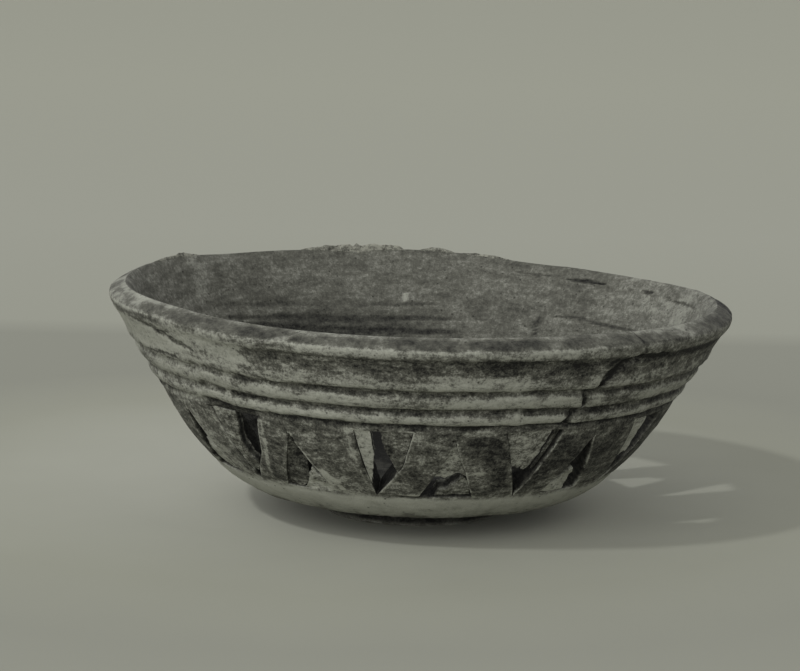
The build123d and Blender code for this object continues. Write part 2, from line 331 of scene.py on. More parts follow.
@dataclass(frozen=True)
class Standing:
    """How the upright bowl stands: a rim that rises, dips and runs out of centre, and a lean about the foot."""

    lean_degrees: float = 0.9
    crest_height: float = 57.2
    widest_height: float = 53.7
    rim_shift: float = 0.45
    softened_degrees: int = 17
    rim_lifts: tuple = (
        (-180, 0.1), (-165, -0.4), (-150, 0.0), (-135, 0.0), (-122, 1.0), (-105, 1.0), (-85, 0.8), (-68, 1.0),
        (-52, 1.0), (-42, 0.4), (-30, 0.0), (-15, -0.1), (0, 0.1), (15, 0.3), (30, 0.4), (60, 0.0), (85, -0.3),
        (102, -0.6), (115, -1.3), (126, -1.9), (145, -1.9), (158, -1.8), (169, -0.6), (180, 0.1),
    )

    def place(self, points: np.ndarray) -> np.ndarray:
        """Metres in the shared frame from millimetres in the upright bowl's frame.

        The rim's lift at an azimuth and its shift to the right count by the square of the height's share; the
        lean turns about Y, and the middle of the widest circle without that shift comes back over the origin.

        Args:
            points: array whose last axis is x, y, z in millimetres.

        Returns:
            The same array in metres.
        """
        x, y, z = points[..., 0], points[..., 1], points[..., 2]
        azimuth = np.degrees(np.arctan2(x, -y))
        spots, lifts = np.array(self.rim_lifts).T
        whole_degrees = np.linspace(-180, 180, 361)
        three_turns = np.tile(np.interp(whole_degrees, spots, lifts)[:-1], 3)
        weights = np.hanning(self.softened_degrees)
        soft = np.convolve(three_turns, weights / weights.sum(), "same")[360:721]
        share = (z / self.crest_height) ** 2
        x = x + self.rim_shift * share
        z = z + np.interp(azimuth, whole_degrees, soft) * share
        lean = math.radians(self.lean_degrees)
        leaned = np.stack([x * math.cos(lean) + z * math.sin(lean), y, z * math.cos(lean) - x * math.sin(lean)], -1)
        leaned[..., 0] -= self.widest_height * math.sin(lean)
        return leaned * MM


STANDING = Standing()


def add_object(name: str, data: bpy.types.ID) -> bpy.types.Object:
    """Put an object into the scene, at the origin.

    Args:
        name: its name.
        data: its mesh, light or camera.

    Returns:
        The object.
    """
    added = bpy.data.objects.new(name, data)
    bpy.context.scene.collection.objects.link(added)
    return added


def make_piece(name: str, shell: Shell, material: bpy.types.Material, nodes: list[str]) -> None:
    """Turn a shell into an object that rides on the bowl, dresses in a material and replaces CAD nodes.

    Args:
        name: the piece's name.
        shell: its surface in the upright frame.
        material: its finish.
        nodes: CAD nodes that it stands for.
    """
    shell = trimmed(shell)
    full, triangles = split_faces(shell.quads)
    placed = STANDING.place(shell.points)
    placed[:, 2] = np.maximum(placed[:, 2], 0)
    mesh = bpy.data.meshes.new(name)
    mesh.vertices.add(len(placed))
    mesh.vertices.foreach_set("co", placed.astype(np.float32).ravel())
    corners = np.concatenate([full.ravel(), triangles.ravel()]).astype(np.int32)
    mesh.loops.add(len(corners))
    mesh.loops.foreach_set("vertex_index", corners)
    starts = np.concatenate([np.arange(len(full)) * 4, len(full) * 4 + np.arange(len(triangles)) * 3])
    mesh.polygons.add(len(starts))
    mesh.polygons.foreach_set("loop_start", starts.astype(np.int32))
    mesh.polygons.foreach_set("use_smooth", np.ones(len(starts), bool))
    mesh.update(calc_edges=True)
    mesh.validate()
    for mark, values in shell.marks.items():
        mesh.attributes.new(mark, "FLOAT", "POINT").data.foreach_set("value", values.astype(np.float32))
    mesh.set_sharp_from_angle(angle=math.radians(CREASE_DEGREES))
    mesh.materials.append(material)
    piece = add_object(name, mesh)
    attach(piece, BODY)
    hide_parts(*nodes)
    LOG.info("%s: %d points, %d faces", name, len(placed), len(starts))


# The wall: profile, windows and joins


@dataclass(frozen=True)
class Window:
    """One triangular window: where its middle lies, and its outline as shares of its width."""

    kind: WindowKind
    azimuth: float
    width: float
    tip_share: float
    bow_share: float

    def edges(self, up_share: np.ndarray) -> tuple[np.ndarray, np.ndarray]:
        """Left and right edge: straight lines between the corners, the right one bowed at half height.

        Args:
            up_share: shares of the window's height.

        Returns:
            Both edges in millimetres from the window's middle, to the right.
        """
        tip, bow = self.tip_share, self.bow_share
        flat = np.clip(up_share, 0, 1)
        if self.kind is WindowKind.UP:
            flat = 1 - flat
        left = np.interp(flat, [0, 0.5, 1], [tip, tip / 2, 0])
        right = np.interp(flat, [0, 0.5, 1], [tip, (1 + tip) / 2 + bow, 1])
        return (left - 0.5) * self.width, (right - 0.5) * self.width


@dataclass(frozen=True)
class Stroke:
    """A mark along a line of places on the wall, narrowing to its ends: a chip, crack, stain or worn patch.

    Places are pairs of azimuth and height, reach is half its width, worn is the wear that it gives and share how
    fully, depth is the relief that it adds, and ragged how uneven its edge is. It fades between two shares of
    its reach, and its edge's grain follows its reach.
    """

    places: tuple
    reach: float
    worn: float
    share: float = 0.9
    depth: float = 0.0
    ragged: float = 0.5
    steps_between: ClassVar[int] = 4
    width_at_ends: ClassVar[float] = 0.45
    fading: ClassVar[tuple] = (0.6, 1.3)
    finest_grain: ClassVar[float] = 1.4
    grain_per_reach: ClassVar[float] = 1.5
    seeds: ClassVar[int] = 97

    def cover(self, points: np.ndarray, rows: np.ndarray) -> np.ndarray:
        """Share of the mark at points: 1 near its line, falling to 0 past its reach, with an uneven edge.

        Args:
            points: points on one side of the wall.
            rows: that side's radius and height, from the crest down.

        Returns:
            The share at each point.
        """
        places = np.array(self.places, float)
        steps = np.linspace(0, len(places) - 1, self.steps_between * (len(places) - 1) + 1)
        azimuth, height = (np.interp(steps, np.arange(len(places)), places[:, k]) for k in (0, 1))
        line = around(np.interp(-height, -rows[:, 1], rows[:, 0]), azimuth, height)
        away = np.full(points.shape[:-1], np.inf)
        for number, (start, end) in enumerate(zip(line, line[1:])):
            span = end - start
            along = np.clip(((points - start) @ span) / max(span @ span, TINY), 0, 1)
            fullness = np.sin(math.pi * (number + along) / (len(line) - 1))
            width = self.width_at_ends + (1 - self.width_at_ends) * fullness
            away = np.minimum(away, np.linalg.norm(points - start - along[..., None] * span, axis=-1) / width)
        grain = max(self.finest_grain, self.grain_per_reach * self.reach)
        uneven = layered_noise(points, grain, int(places[0, 0]) % self.seeds)
        return 1 - smooth_step(*self.fading, away / self.reach + self.ragged * uneven)


OUTSIDE_STROKES = (
    # Left: worn patches, thin cracks, the mend's edge and pitted clay at the foot of the band
    Stroke(((-86, 50.5), (-72, 49.0), (-60, 48.6), (-48, 48.8)), 3.6, 0.74, 0.85, 0.0, 0.4),
    Stroke(((-58, 52.5), (-51, 52.6), (-45, 52.2), (-39, 52.4)), 1.4, 0.54, 0.75, 0.0, 0.7),
    Stroke(((-67, 52.6), (-62, 52.1), (-57, 51.5), (-52, 50.6)), 0.5, 0.22, 0.9, -0.25, 0.7),
    Stroke(((-80, 52.9), (-73, 52.8), (-66, 52.6)), 0.8, 0.34, 0.7, -0.1),
    Stroke(((-55, 50.6), (-49, 49.2), (-45, 48.2)), 0.9, 0.12, 0.8, -0.2, 0.9),
    Stroke(((-64, 44.8), (-56, 45.4), (-51, 45.3)), 0.45, 0.10, 0.8, -0.15, 0.5),
    Stroke(((-34.0, 51.0), (-36.0, 47.0), (-38.8, 42.4), (-41.5, 37.0)), 1.3, 0.60, 0.9, 0.0, 0.7),
    Stroke(((-44.0, 51.6), (-38.0, 52.2), (-33.0, 51.4)), 1.4, 0.64, 0.9, 0.0, 0.7),
    Stroke(((-43.0, 50.4), (-39.0, 49.4), (-33.0, 48.4)), 2.2, 0.68, 0.85, 0.0, 0.5),
    Stroke(((-66.0, 33.2), (-60.0, 33.6), (-50.0, 34.6)), 1.4, 0.56, 0.8, 0.0, 0.6),
    Stroke(((-28.0, 53.9), (-25.0, 55.0), (-22.8, 55.8)), 0.9, 0.42, 1.0, 0.25, 0.8),
    Stroke(((-22.4, 55.6), (-21.0, 55.9)), 0.8, 0.10, 1.0, -0.3, 0.6),
    Stroke(((12.0, 53.7), (19.0, 53.6), (26.0, 53.5)), 1.3, 0.56, 0.65, 0.0, 0.5),
    Stroke(((-49.5, 32.6), (-46.5, 33.0), (-43.7, 33.2), (-40.2, 33.1), (-34.8, 33.0)), 0.6, 0.0, 1.0, -0.7, 0.2),
    Stroke(((-65.8, 23.3), (-64.4, 21.2), (-63.0, 19.4)), 0.6, 0.02, 0.95, -0.4),
    Stroke(((-64.2, 16.6), (-62.0, 16.0)), 1.2, 0.05, 0.9, -0.4),
    Stroke(((-40.6, 22.0), (-42.8, 18.4), (-43.6, 15.4)), 1.3, 0.60, 0.8, 0.0, 0.9),
    Stroke(((-67.0, 15.2), (-61.0, 13.6), (-54.0, 12.4)), 2.0, 0.74, 0.85),
    Stroke(((-58.0, 30.0), (-55.0, 22.0), (-50.0, 15.5)), 2.6, 0.50, 0.7),
    Stroke(((-41.0, 14.6), (-33.0, 14.4), (-26.0, 14.6)), 1.2, 0.66, 0.8),
    # The smooth dark strip between the first two windows, and rougher paler clay after them
    Stroke(((-31.6, 31.5), (-33.6, 25.0), (-37.5, 16.5)), 2.8, 0.18, 0.75),
    Stroke(((-34.4, 32.0), (-35.4, 26.0), (-39.0, 17.0)), 0.7, 0.62, 0.8, 0.0, 0.8),
    Stroke(((-29.0, 30.4), (-27.8, 28.8), (-26.6, 27.8)), 0.35, 0.0, 1.0, -0.4),
    Stroke(((-19.0, 32.0), (-17.5, 29.5), (-15.5, 27.0)), 2.4, 0.42, 0.5),
    Stroke(((-20.4, 27.0), (-19.6, 23.5), (-19.8, 20.5)), 2.4, 0.22, 0.6, 0.0, 0.8),
    Stroke(((-22.4, 20.2), (-20.2, 17.4), (-18.4, 15.4)), 1.5, 0.80, 0.9, 0.0, 0.8),
    Stroke(((-14.5, 32.0), (-13.8, 26.0), (-11.8, 18.0)), 0.6, 0.62, 0.7),
    # Between the second and third window that point down
    Stroke(((7.9, 30.7), (8.4, 30.2)), 0.6, 0.0, 1.0, -0.9, 0.2),
    Stroke(((-5.0, 14.4), (0.0, 14.2), (5.0, 14.4)), 0.45, 0.02, 0.9, -0.25, 0.3),
    Stroke(((-4.5, 15.2), (0.0, 15.1), (4.0, 15.3)), 0.3, 0.72, 0.8, 0.1, 0.3),
    Stroke(((9.5, 32.6), (13.5, 32.9), (18.5, 32.7)), 0.9, 0.50, 0.9),
    Stroke(((11.5, 30.4), (14.5, 30.0), (18.0, 30.4)), 1.9, 0.0, 0.9, 0.0, 0.4),
    Stroke(((17.0, 29.0), (19.5, 24.0), (20.5, 17.0)), 3.0, 0.06, 0.75),
    Stroke(((-3.0, 30.0), (-1.0, 24.0), (1.5, 17.0)), 2.6, 0.18, 0.7),
    Stroke(((3.0, 29.0), (4.5, 24.0), (5.5, 18.0)), 2.4, 0.26, 0.6),
    Stroke(((14.5, 23.5), (15.0, 20.5)), 1.4, 0.62, 0.6, 0.0, 0.9),
    # Right: dark slip kept between the windows, and clay lost along the mend
    Stroke(((34.5, 30.0), (32.0, 24.0), (29.5, 17.0)), 3.0, 0.02, 0.8),
    Stroke(((49.0, 31.0), (47.0, 25.0), (44.5, 17.0)), 3.2, 0.10, 0.75),
    Stroke(((68.0, 31.5), (66.0, 25.0), (64.0, 18.0)), 3.5, 0.10, 0.8),
    Stroke(((35.4, 44.0), (36.6, 46.6), (38.6, 49.0), (42.4, 51.0)), 1.5, 0.0, 1.0, -0.75, 0.6),
    Stroke(((38.5, 50.2), (43.0, 51.0), (50.0, 51.2)), 1.3, 0.0, 1.0, -0.4, 0.7),
    Stroke(((33.2, 42.9), (33.9, 40.6), (34.4, 38.9)), 0.75, 0.02, 1.0, -0.6),
    Stroke(((33.2, 38.0), (31.8, 35.6), (30.2, 33.8)), 1.0, 0.02, 1.0, -0.6),
    Stroke(((30.5, 33.6), (30.0, 31.0)), 0.9, 0.02, 0.9, -0.4),
    Stroke(((35.0, 53.8), (50.0, 53.2), (66.0, 53.2), (82.0, 53.4)), 1.6, 0.37, 0.85),
    Stroke(((44.0, 51.0), (58.0, 50.6), (76.0, 51.0)), 1.2, 0.0, 0.85),
    Stroke(((84.0, 55.0), (88.0, 55.9), (92.0, 56.4), (99.0, 56.8)), 1.1, 0.02, 0.9, -0.3, 0.8),
    Stroke(((80.0, 31.0), (78.5, 24.0), (77.0, 16.0)), 2.0, 0.16, 0.7),
)
INSIDE_STROKES = (
    # Turning lines low on the far wall
    Stroke(((-130, 44.6), (-142, 43.9), (-150, 43.5), (-158, 43.1), (-166, 43.0), (-175, 43.2), (-186, 43.6)),
           0.9, 0.16, 0.6, -0.10, 0.6),
    Stroke(((-128, 41.4), (-142, 40.6), (-150, 40.0), (-158, 39.4), (-166, 39.2), (-175, 39.5), (-187, 39.8)),
           1.1, 0.08, 0.7, -0.15),
    Stroke(((-126, 39.8), (-142, 38.4), (-150, 37.2), (-158, 36.3), (-166, 36.0), (-175, 36.2), (-188, 36.4)),
           1.4, 0.04, 0.8, -0.15),
    Stroke(((-176.2, 46.2), (-176.3, 43.8)), 0.6, 0.72, 0.95, 0.1, 0.2),
    Stroke(((-150, 51.5), (-165, 52.0), (-180, 52.0), (-196, 52.5), (-210, 52.0)), 5.5, 0.37, 0.75, 0.0, 0.8),
    # Outline of a flake, and a pale patch above it
    Stroke(((149.5, 38.5), (150.0, 41.2), (149.4, 43.4)), 1.0, 0.08, 0.8, -0.2, 0.9),
    Stroke(((146, 43.8), (139.8, 44.6), (131.4, 43.7), (118.0, 44.0)), 0.5, 0.12, 0.8, -0.15, 0.9),
    Stroke(((122, 50.5), (112, 51.5), (101, 52.5), (92, 53.0)), 3.4, 0.48, 0.6, 0.0, 0.7),
    Stroke(((112, 48.5), (104, 48.8), (96, 49.8)), 1.0, 0.52, 0.6, 0.0, 0.9),
    # Clay lost under the far lip
    Stroke(((158, 54.6), (154.0, 54.4), (150.0, 54.5)), 0.4, 0.10, 0.6, -0.2, 1.6),
    Stroke(((146.0, 54.2), (141.0, 54.3), (136.0, 54.3)), 0.45, 0.02, 0.9, -0.4, 1.4),
    Stroke(((124.0, 54.4), (121.0, 54.2)), 0.6, 0.05, 0.9, -0.3, 1.0),
    Stroke(((116.0, 53.8), (110.0, 53.5), (100.0, 53.6)), 0.4, 0.10, 0.6, -0.2, 1.6),
)

# Usual widths, and each window's azimuth, width as a share of the usual one, tip share and bow share
DOWN_WIDTH = 15.4
UP_WIDTH = 13.4
DOWN_WINDOWS = (
    (-41.9, 1.00, 0.28, 0.12), (-6.8, 0.94, 0.32, 0.13), (25.7, 1.00, 0.59, 0.00), (60.4, 0.98, 0.53, 0.03),
    (97.2, 0.97, 0.44, 0.05), (134.0, 1.00, 0.52, 0.00), (170.8, 0.95, 0.41, 0.06), (207.6, 0.99, 0.56, 0.02),
    (244.4, 0.96, 0.36, 0.10), (281.2, 1.00, 0.47, 0.04),
)
UP_WINDOWS = (
    (-27.8, 1.08, 0.48, 0.00), (8.4, 0.99, 0.50, 0.02), (42.1, 0.95, 0.45, 0.03), (78.8, 0.98, 0.52, 0.00),
    (115.6, 1.02, 0.46, 0.02), (152.4, 0.96, 0.55, 0.00), (189.2, 1.00, 0.50, 0.02), (226.0, 1.04, 0.44, 0.03),
    (262.8, 0.97, 0.51, 0.00), (299.6, 1.00, 0.47, 0.02),
)


@dataclass(frozen=True)
class Bowl:
    """Sizes of the wall, in the upright frame, and the surfaces that follow from them."""

    crest: tuple = (76.0, 57.2)
    crest_round: tuple = (78.0, 56.25)
    mouth_round: tuple = (75.25, 56.95)
    mouth: tuple = (74.1, 55.6)
    below_mouth: tuple = (73.0, 53.9)
    edge_top: tuple = (79.5, 55.2)
    edge_foot: tuple = (79.1, 52.3)
    widest: tuple = (79.9, 54.1)
    band_top: tuple = (66.9, 33.4)
    band_foot: tuple = (52.3, 13.7)
    belly: tuple = (42.6, 6.9)
    foot_radius: float = 23.5
    foot_height: float = 4.6
    floor_bend: tuple = (44.0, 13.1)
    floor_edge: tuple = (32.0, 10.6)
    floor_inner: tuple = (18.0, 10.2)
    floor_middle: float = 10.0
    wall_thickness: float = 5.6
    ledge_swell: float = 0.7
    band_bow: float = 1.1
    relief_levels: tuple = (
        (13.4, 0.0), (13.8, -0.12), (14.4, -0.12), (15.0, 0.0), (33.4, 0.0), (33.9, -0.45), (34.7, -0.5),
        (35.1, 0.2), (36.2, 0.45), (37.3, 0.15), (37.8, -0.6), (38.9, -0.65), (39.4, 0.15), (40.6, 0.4),
        (42.0, 0.35), (42.6, 0.05), (43.0, -0.45), (44.0, -0.5), (44.5, 0.3), (45.4, 0.5), (47.0, 0.2),
        (48.6, -0.2), (50.2, -0.4), (51.6, -0.4), (52.4, 0.0),
    )
    # Wear up the outside by height; the paler levels at 7.2 to 8.2 mm are painted bounce light under the ledge
    wear_and_bounce_levels: tuple = (
        (0, 0.20), (4.6, 0.24), (7.2, 0.44), (8.2, 0.54), (10.0, 0.66), (11.5, 0.73), (13.2, 0.72), (13.7, 0.50),
        (14.6, 0.42), (15.2, 0.34), (24.0, 0.33), (33.0, 0.34), (33.6, 0.30), (34.0, 0.08), (34.8, 0.12),
        (35.2, 0.64), (37.1, 0.60), (37.6, 0.14), (39.1, 0.16), (39.5, 0.50), (41.0, 0.58), (42.3, 0.53),
        (42.8, 0.18), (44.1, 0.22), (44.5, 0.48), (45.4, 0.50), (46.6, 0.48), (47.8, 0.38), (48.8, 0.30),
        (50.0, 0.24), (52.0, 0.22), (52.5, 0.53), (54.4, 0.56), (55.0, 0.26), (56.5, 0.22), (56.9, 0.40),
        (57.2, 0.44),
    )
    sherd_foot: float = 34.7
    sherd_end: float = 12.8
    right_join: tuple = (
        (0.5255, 0.0), (0.5328, 0.14), (0.5618, 0.20), (0.5340, 0.395), (0.5868, 0.44), (0.6195, 0.64),
        (0.6793, 0.795), (0.6586, 1.0),
    )
    left_join: tuple = (
        (-0.5846, 0.0), (-0.5987, 0.17), (-0.5980, 0.47), (-0.6181, 0.61), (-0.5724, 0.77), (-0.4398, 0.90),
        (-0.3653, 1.0),
    )
    row_counts: tuple = (6, 6, 42, 38, 12, 8, 5)
    window_columns: int = 7
    strip_columns: tuple = (20, 13)
    front_azimuths: tuple = (-68.0, 84.0)
    # First rows of the windows below the band's top, and how many rows lower they start behind
    down_start: int = 1
    up_start: int = 6
    behind_start: int = 4
    behind_degrees: float = 100.0
    # Rows over which the columns ease to an even spacing, and columns that count and weigh in it
    ease_above: int = 16
    ease_below: int = 10
    ease_reach: int = 45
    ease_spread: float = 22.0
    narrowest_window: float = 0.35
    window_ragged: tuple = (Unevenness(0.16, 5.0, 11), Unevenness(0.16, 5.0, 31))
    window_wave: float = 24.0
    join_ragged: Unevenness = Unevenness(0.55, 2.6, 5)
    end_ragged: Unevenness = Unevenness(1.0, 4.0, 15)
    join_field: float = 90.0
    end_field: float = 40.0

    @property
    def slope(self) -> tuple[float, float]:
        """Run and rise of the band's outside as parts of its length."""
        run, rise = self.band_top[0] - self.band_foot[0], self.band_top[1] - self.band_foot[1]
        return run / self.band_length, rise / self.band_length

    @property
    def band_length(self) -> float:
        """Length of the band's outside up its slope."""
        return math.hypot(self.band_top[0] - self.band_foot[0], self.band_top[1] - self.band_foot[1])

    @property
    def band_start(self) -> int:
        """Row that lies on the top of the band."""
        return sum(self.row_counts[:3])

    @property
    def band_end(self) -> int:
        """Row that lies on the foot of the band."""
        return sum(self.row_counts[:4])

    def inward(self, point: tuple) -> tuple:
        """Point one wall thickness in from the band's outside, square to its slope."""
        run, rise = self.slope
        return (point[0] - self.wall_thickness * rise, point[1] + self.wall_thickness * run)

    def proud(self, start: tuple, end: tuple, by: float) -> tuple:
        """Point halfway between two, moved out square to the band's slope."""
        (run, rise), middle = self.slope, halfway(start, end)
        return (middle[0] + by * rise, middle[1] - by * run)

    def profile(self, corners: tuple, bends: dict[int, tuple]) -> np.ndarray:
        """Rows of one side of the wall: from corner to corner, straight or through a middle point.

        Args:
            corners: radius and height of the stretches' ends, from the crest down to the axis.
            bends: middle point of each stretch that is bent, by its number.

        Returns:
            Radius and height of each row, with as many rows in a stretch as row_counts says.
        """
        rows = [np.array(corners[:1])]
        for number, (start, end) in enumerate(zip(corners, corners[1:])):
            middle = bends.get(number, halfway(start, end))
            rows.append(bent_line(start, middle, end, self.row_counts[number]))
        return np.concatenate(rows)

    def outer_profile(self) -> np.ndarray:
        """Rows of the outside.

        Returns:
            Radius and height of each, from the crest of the lip down to the axis.
        """
        ring, axis = (self.foot_radius, self.foot_height), (0.0, self.foot_height)
        edge = (self.crest, self.edge_top, self.edge_foot)
        bends = {
            0: self.crest_round,
            1: self.widest,
            3: self.proud(self.band_top, self.band_foot, self.band_bow),
            4: self.proud(self.band_foot, self.belly, self.ledge_swell),
        }
        return self.profile((*edge, self.band_top, self.band_foot, self.belly, ring, axis), bends)

    def inner_profile(self) -> np.ndarray:
        """Rows of the inside, as many as outside.

        Returns:
            Radius and height of each, from the crest down to the axis.
        """
        wall = (self.inward(self.band_top), self.inward(self.band_foot))
        floor = (self.floor_edge, self.floor_inner, (0.0, self.floor_middle))
        return self.profile(
            (self.crest, self.mouth, self.below_mouth, *wall, *floor), {0: self.mouth_round, 4: self.floor_bend}
        )

    def windows(self) -> list[Window]:
        """List the windows.

        Returns:
            Every window in order round the band, those that point down and up in turn.
        """
        down = [Window(WindowKind.DOWN, a, DOWN_WIDTH * w, t, b) for a, w, t, b in DOWN_WINDOWS]
        up = [Window(WindowKind.UP, a, UP_WIDTH * w, t, b) for a, w, t, b in UP_WINDOWS]
        return [window for pair in zip(down, up) for window in pair]

    def window_rows(self, window: Window) -> tuple[int, int]:
        """First and last row of a window's opening, which starts lower behind.

        Args:
            window: the window.

        Returns:
            Both rows.
        """
        first = self.down_start if window.kind is WindowKind.DOWN else self.up_start
        behind = self.behind_start if abs(turned_from(window.azimuth, 0)) > self.behind_degrees else 0
        return self.band_start + first + behind, self.band_end - 1

    def columns(self) -> tuple[np.ndarray, np.ndarray]:
        """Azimuth of every column at every row, and the first column of every window.

        In the band the columns are shared out between the edges of the windows, which lie at the angle whose
        sine is the sideways distance over the band's radius. Above and below they ease to an even spacing.

        Returns:
            Azimuths in degrees, one row for each column, and the windows' first columns.
        """
        rows = len(self.outer_profile())
        start, end = self.band_start, self.band_end
        up = np.linspace(1, 0, end - start + 1)
        radius = self.band_foot[0] + up * (self.band_top[0] - self.band_foot[0])
        blocks = []
        edges = []
        for window in self.windows():
            first, last = self.window_rows(window)
            share = np.interp(np.arange(start, end + 1), [first, last], [1, 0])
            left, right = window.edges(share)
            wave = np.stack([np.full_like(up, window.azimuth), up * self.window_wave, np.zeros_like(up)], -1)
            left, right = (side + noise.at(wave) for side, noise in zip((left, right), self.window_ragged))
            right = np.maximum(right, left + self.narrowest_window)
            edges.append([window.azimuth + np.degrees(np.arcsin(side / radius)) for side in (left, right)])
        first_columns = []
        for number, (left, right) in enumerate(edges):
            following = edges[(number + 1) % len(edges)][0] + (360 if number + 1 == len(edges) else 0)
            first_columns.append(sum(len(b) for b in blocks))
            near = self.front_azimuths[0] < edges[number][0].mean() < self.front_azimuths[1]
            strip = self.strip_columns[0 if near else 1]
            across = np.arange(self.window_columns)[:, None] / self.window_columns
            blocks.append(left + across * (right - left))
            across = np.arange(strip)[:, None] / strip
            blocks.append(right + across * (following - right))
        band = np.concatenate(blocks)
        azimuth = np.repeat(band[:, :1], rows, axis=1)
        azimuth[:, start : end + 1] = band
        azimuth[:, end + 1 :] = band[:, -1:]
        even_top, even_foot = self.evened(band[:, 0]), self.evened(band[:, -1])
        row = np.arange(rows)
        above = smooth_step(start, start - self.ease_above, row)
        below = smooth_step(end, end + self.ease_below, row)
        azimuth[:, :start] += (above * (even_top - band[:, 0])[:, None])[:, :start]
        azimuth[:, end + 1 :] += (below * (even_foot - band[:, -1])[:, None])[:, end + 1 :]
        return azimuth, np.array(first_columns)

    def evened(self, azimuth: np.ndarray) -> np.ndarray:
        """Spread columns evenly: their distance from an equal share of the turn, averaged with neighbours.

        Args:
            azimuth: azimuth of every column at one row.

        Returns:
            The same columns with an even spacing.
        """
        equal = 360 * np.arange(len(azimuth)) / len(azimuth)
        reach = np.arange(-self.ease_reach, self.ease_reach + 1)
        weight = swell(reach, 0, self.ease_spread)
        wrapped = np.stack([np.roll(azimuth - equal, -step) for step in reach])
        return (weight[:, None] * wrapped).sum(0) / weight.sum() + equal

    def plain_radius(self, height: np.ndarray) -> np.ndarray:
        """Radius of the outer wall without ribs, above the band."""
        top, edge = self.band_top, self.edge_foot
        return top[0] + (height - top[1]) * (edge[0] - top[0]) / (edge[1] - top[1])

    def join_azimuth(self, join: tuple, height: np.ndarray) -> np.ndarray:
        """Azimuth of a join at heights: the angle whose sine is its sideways share, with a broken edge.

        Args:
            join: pairs of sideways share of the radius and share of the height from the sherd's foot to the crest.
            height: heights.

        Returns:
            Azimuth at each height.
        """
        shares = np.array(join)
        rise = (height - self.sherd_foot) / (self.crest[1] - self.sherd_foot)
        side = np.interp(rise, shares[:, 1], shares[:, 0])
        wave = np.stack([height, np.full_like(height, shares[0, 0] * self.join_field), np.zeros_like(height)], -1)
        return np.degrees(np.arcsin(side)) + self.join_ragged.at(wave)

    def end_azimuth(self, side: int, height: np.ndarray) -> np.ndarray:
        """Azimuth of a sherd's far end, at a sideways distance behind the middle of the bowl.

        Args:
            side: 1 for the right sherd, -1 for the left one.
            height: heights.

        Returns:
            Azimuth at each height.
        """
        wave = np.stack([height, np.full_like(height, side * self.end_field), np.zeros_like(height)], -1)
        far = 90 + np.degrees(np.arcsin(self.sherd_end / self.plain_radius(height)))
        return side * (far + self.end_ragged.at(wave))


# Fades that several zones share, and the zones of the outside, the inside and the mottle
RIBBED = (34.0, 35.0)
BELOW_RIBS = (35.0, 34.0)
CREST = (56.2, 57.0)
LEFT_SIDE = ((-36, -56), (-150, -110))
RIGHT_SIDE = ((16, 42), (120, 90))
SHERD_RIBS = ((33.0, 36.0), (55.5, 51.5))
# How much higher or lower the ribs lie on the sherds than on the body
PATTERN_LIFTS = (
    Zone(0.7, ((-37, -46), (-150, -110)), SHERD_RIBS),
    Zone(-0.7, ((20, 40), (120, 90)), SHERD_RIBS),
)
SMOOTH_BELT = Zone(1.0, heights=((44.5, 47.5), (53.5, 52.0)))
LEFT_RIBS = Zone(0.80, LEFT_SIDE, (RIBBED, (47.0, 46.999)))
RIGHT_RIBS = Zone(-0.07, RIGHT_SIDE, (RIBBED,))
OUTSIDE_ZONES = (
    Zone(-0.10, RIGHT_SIDE, (BELOW_RIBS, (15.0, 15.001))),
    # Crest of the lip at both sides, darkened as painted shade that dulls its highlight
    Zone(-0.15, ((60, 95),), (CREST,)),
    Zone(-0.10, ((-60, -95),), (CREST,)),
    # Slope of the lip right and left, and the edge's bead on the left
    Zone(0.17, ((30, 50), (68, 52)), ((54.5, 55.5),)),
    Zone(0.20, ((-42, -56), (-130, -110)), ((53.8, 54.6),)),
    Zone(0.03, ((-50, -60), (-130, -110)), bell=(55.0, 0.9)),
    Zone(-0.17, ((-14, -30),), bell=(53.8, 1.6)),
    # Ribs in front
    Zone(0.06, ((-36, -26), (40, 20)), (RIBBED, (48.0, 47.999))),
)
INSIDE_ZONES = (
    Zone(0.10, ((-72, -48), (72, 48)), (CREST,)),
    Zone(0.05, ((-60, -85), (-150, -120))),
    Zone(0.10, ((60, 85), (150, 120))),
    Zone(-0.10, ((-120, -150),), ((43, 38),)),
    # Painted shade: darker low inside, where the deep bowl lies in shadow
    Zone(-0.27, heights=((36, 29),)),
    Zone(-0.04, heights=((26, 20),)),
)
MOTTLE_ZONES = (
    Zone(0.50, heights=((12.5, 15.0),)),
    Zone(-0.16, heights=((51.8, 52.8),)),
    Zone(-0.26, heights=((54.8, 55.4),)),
)


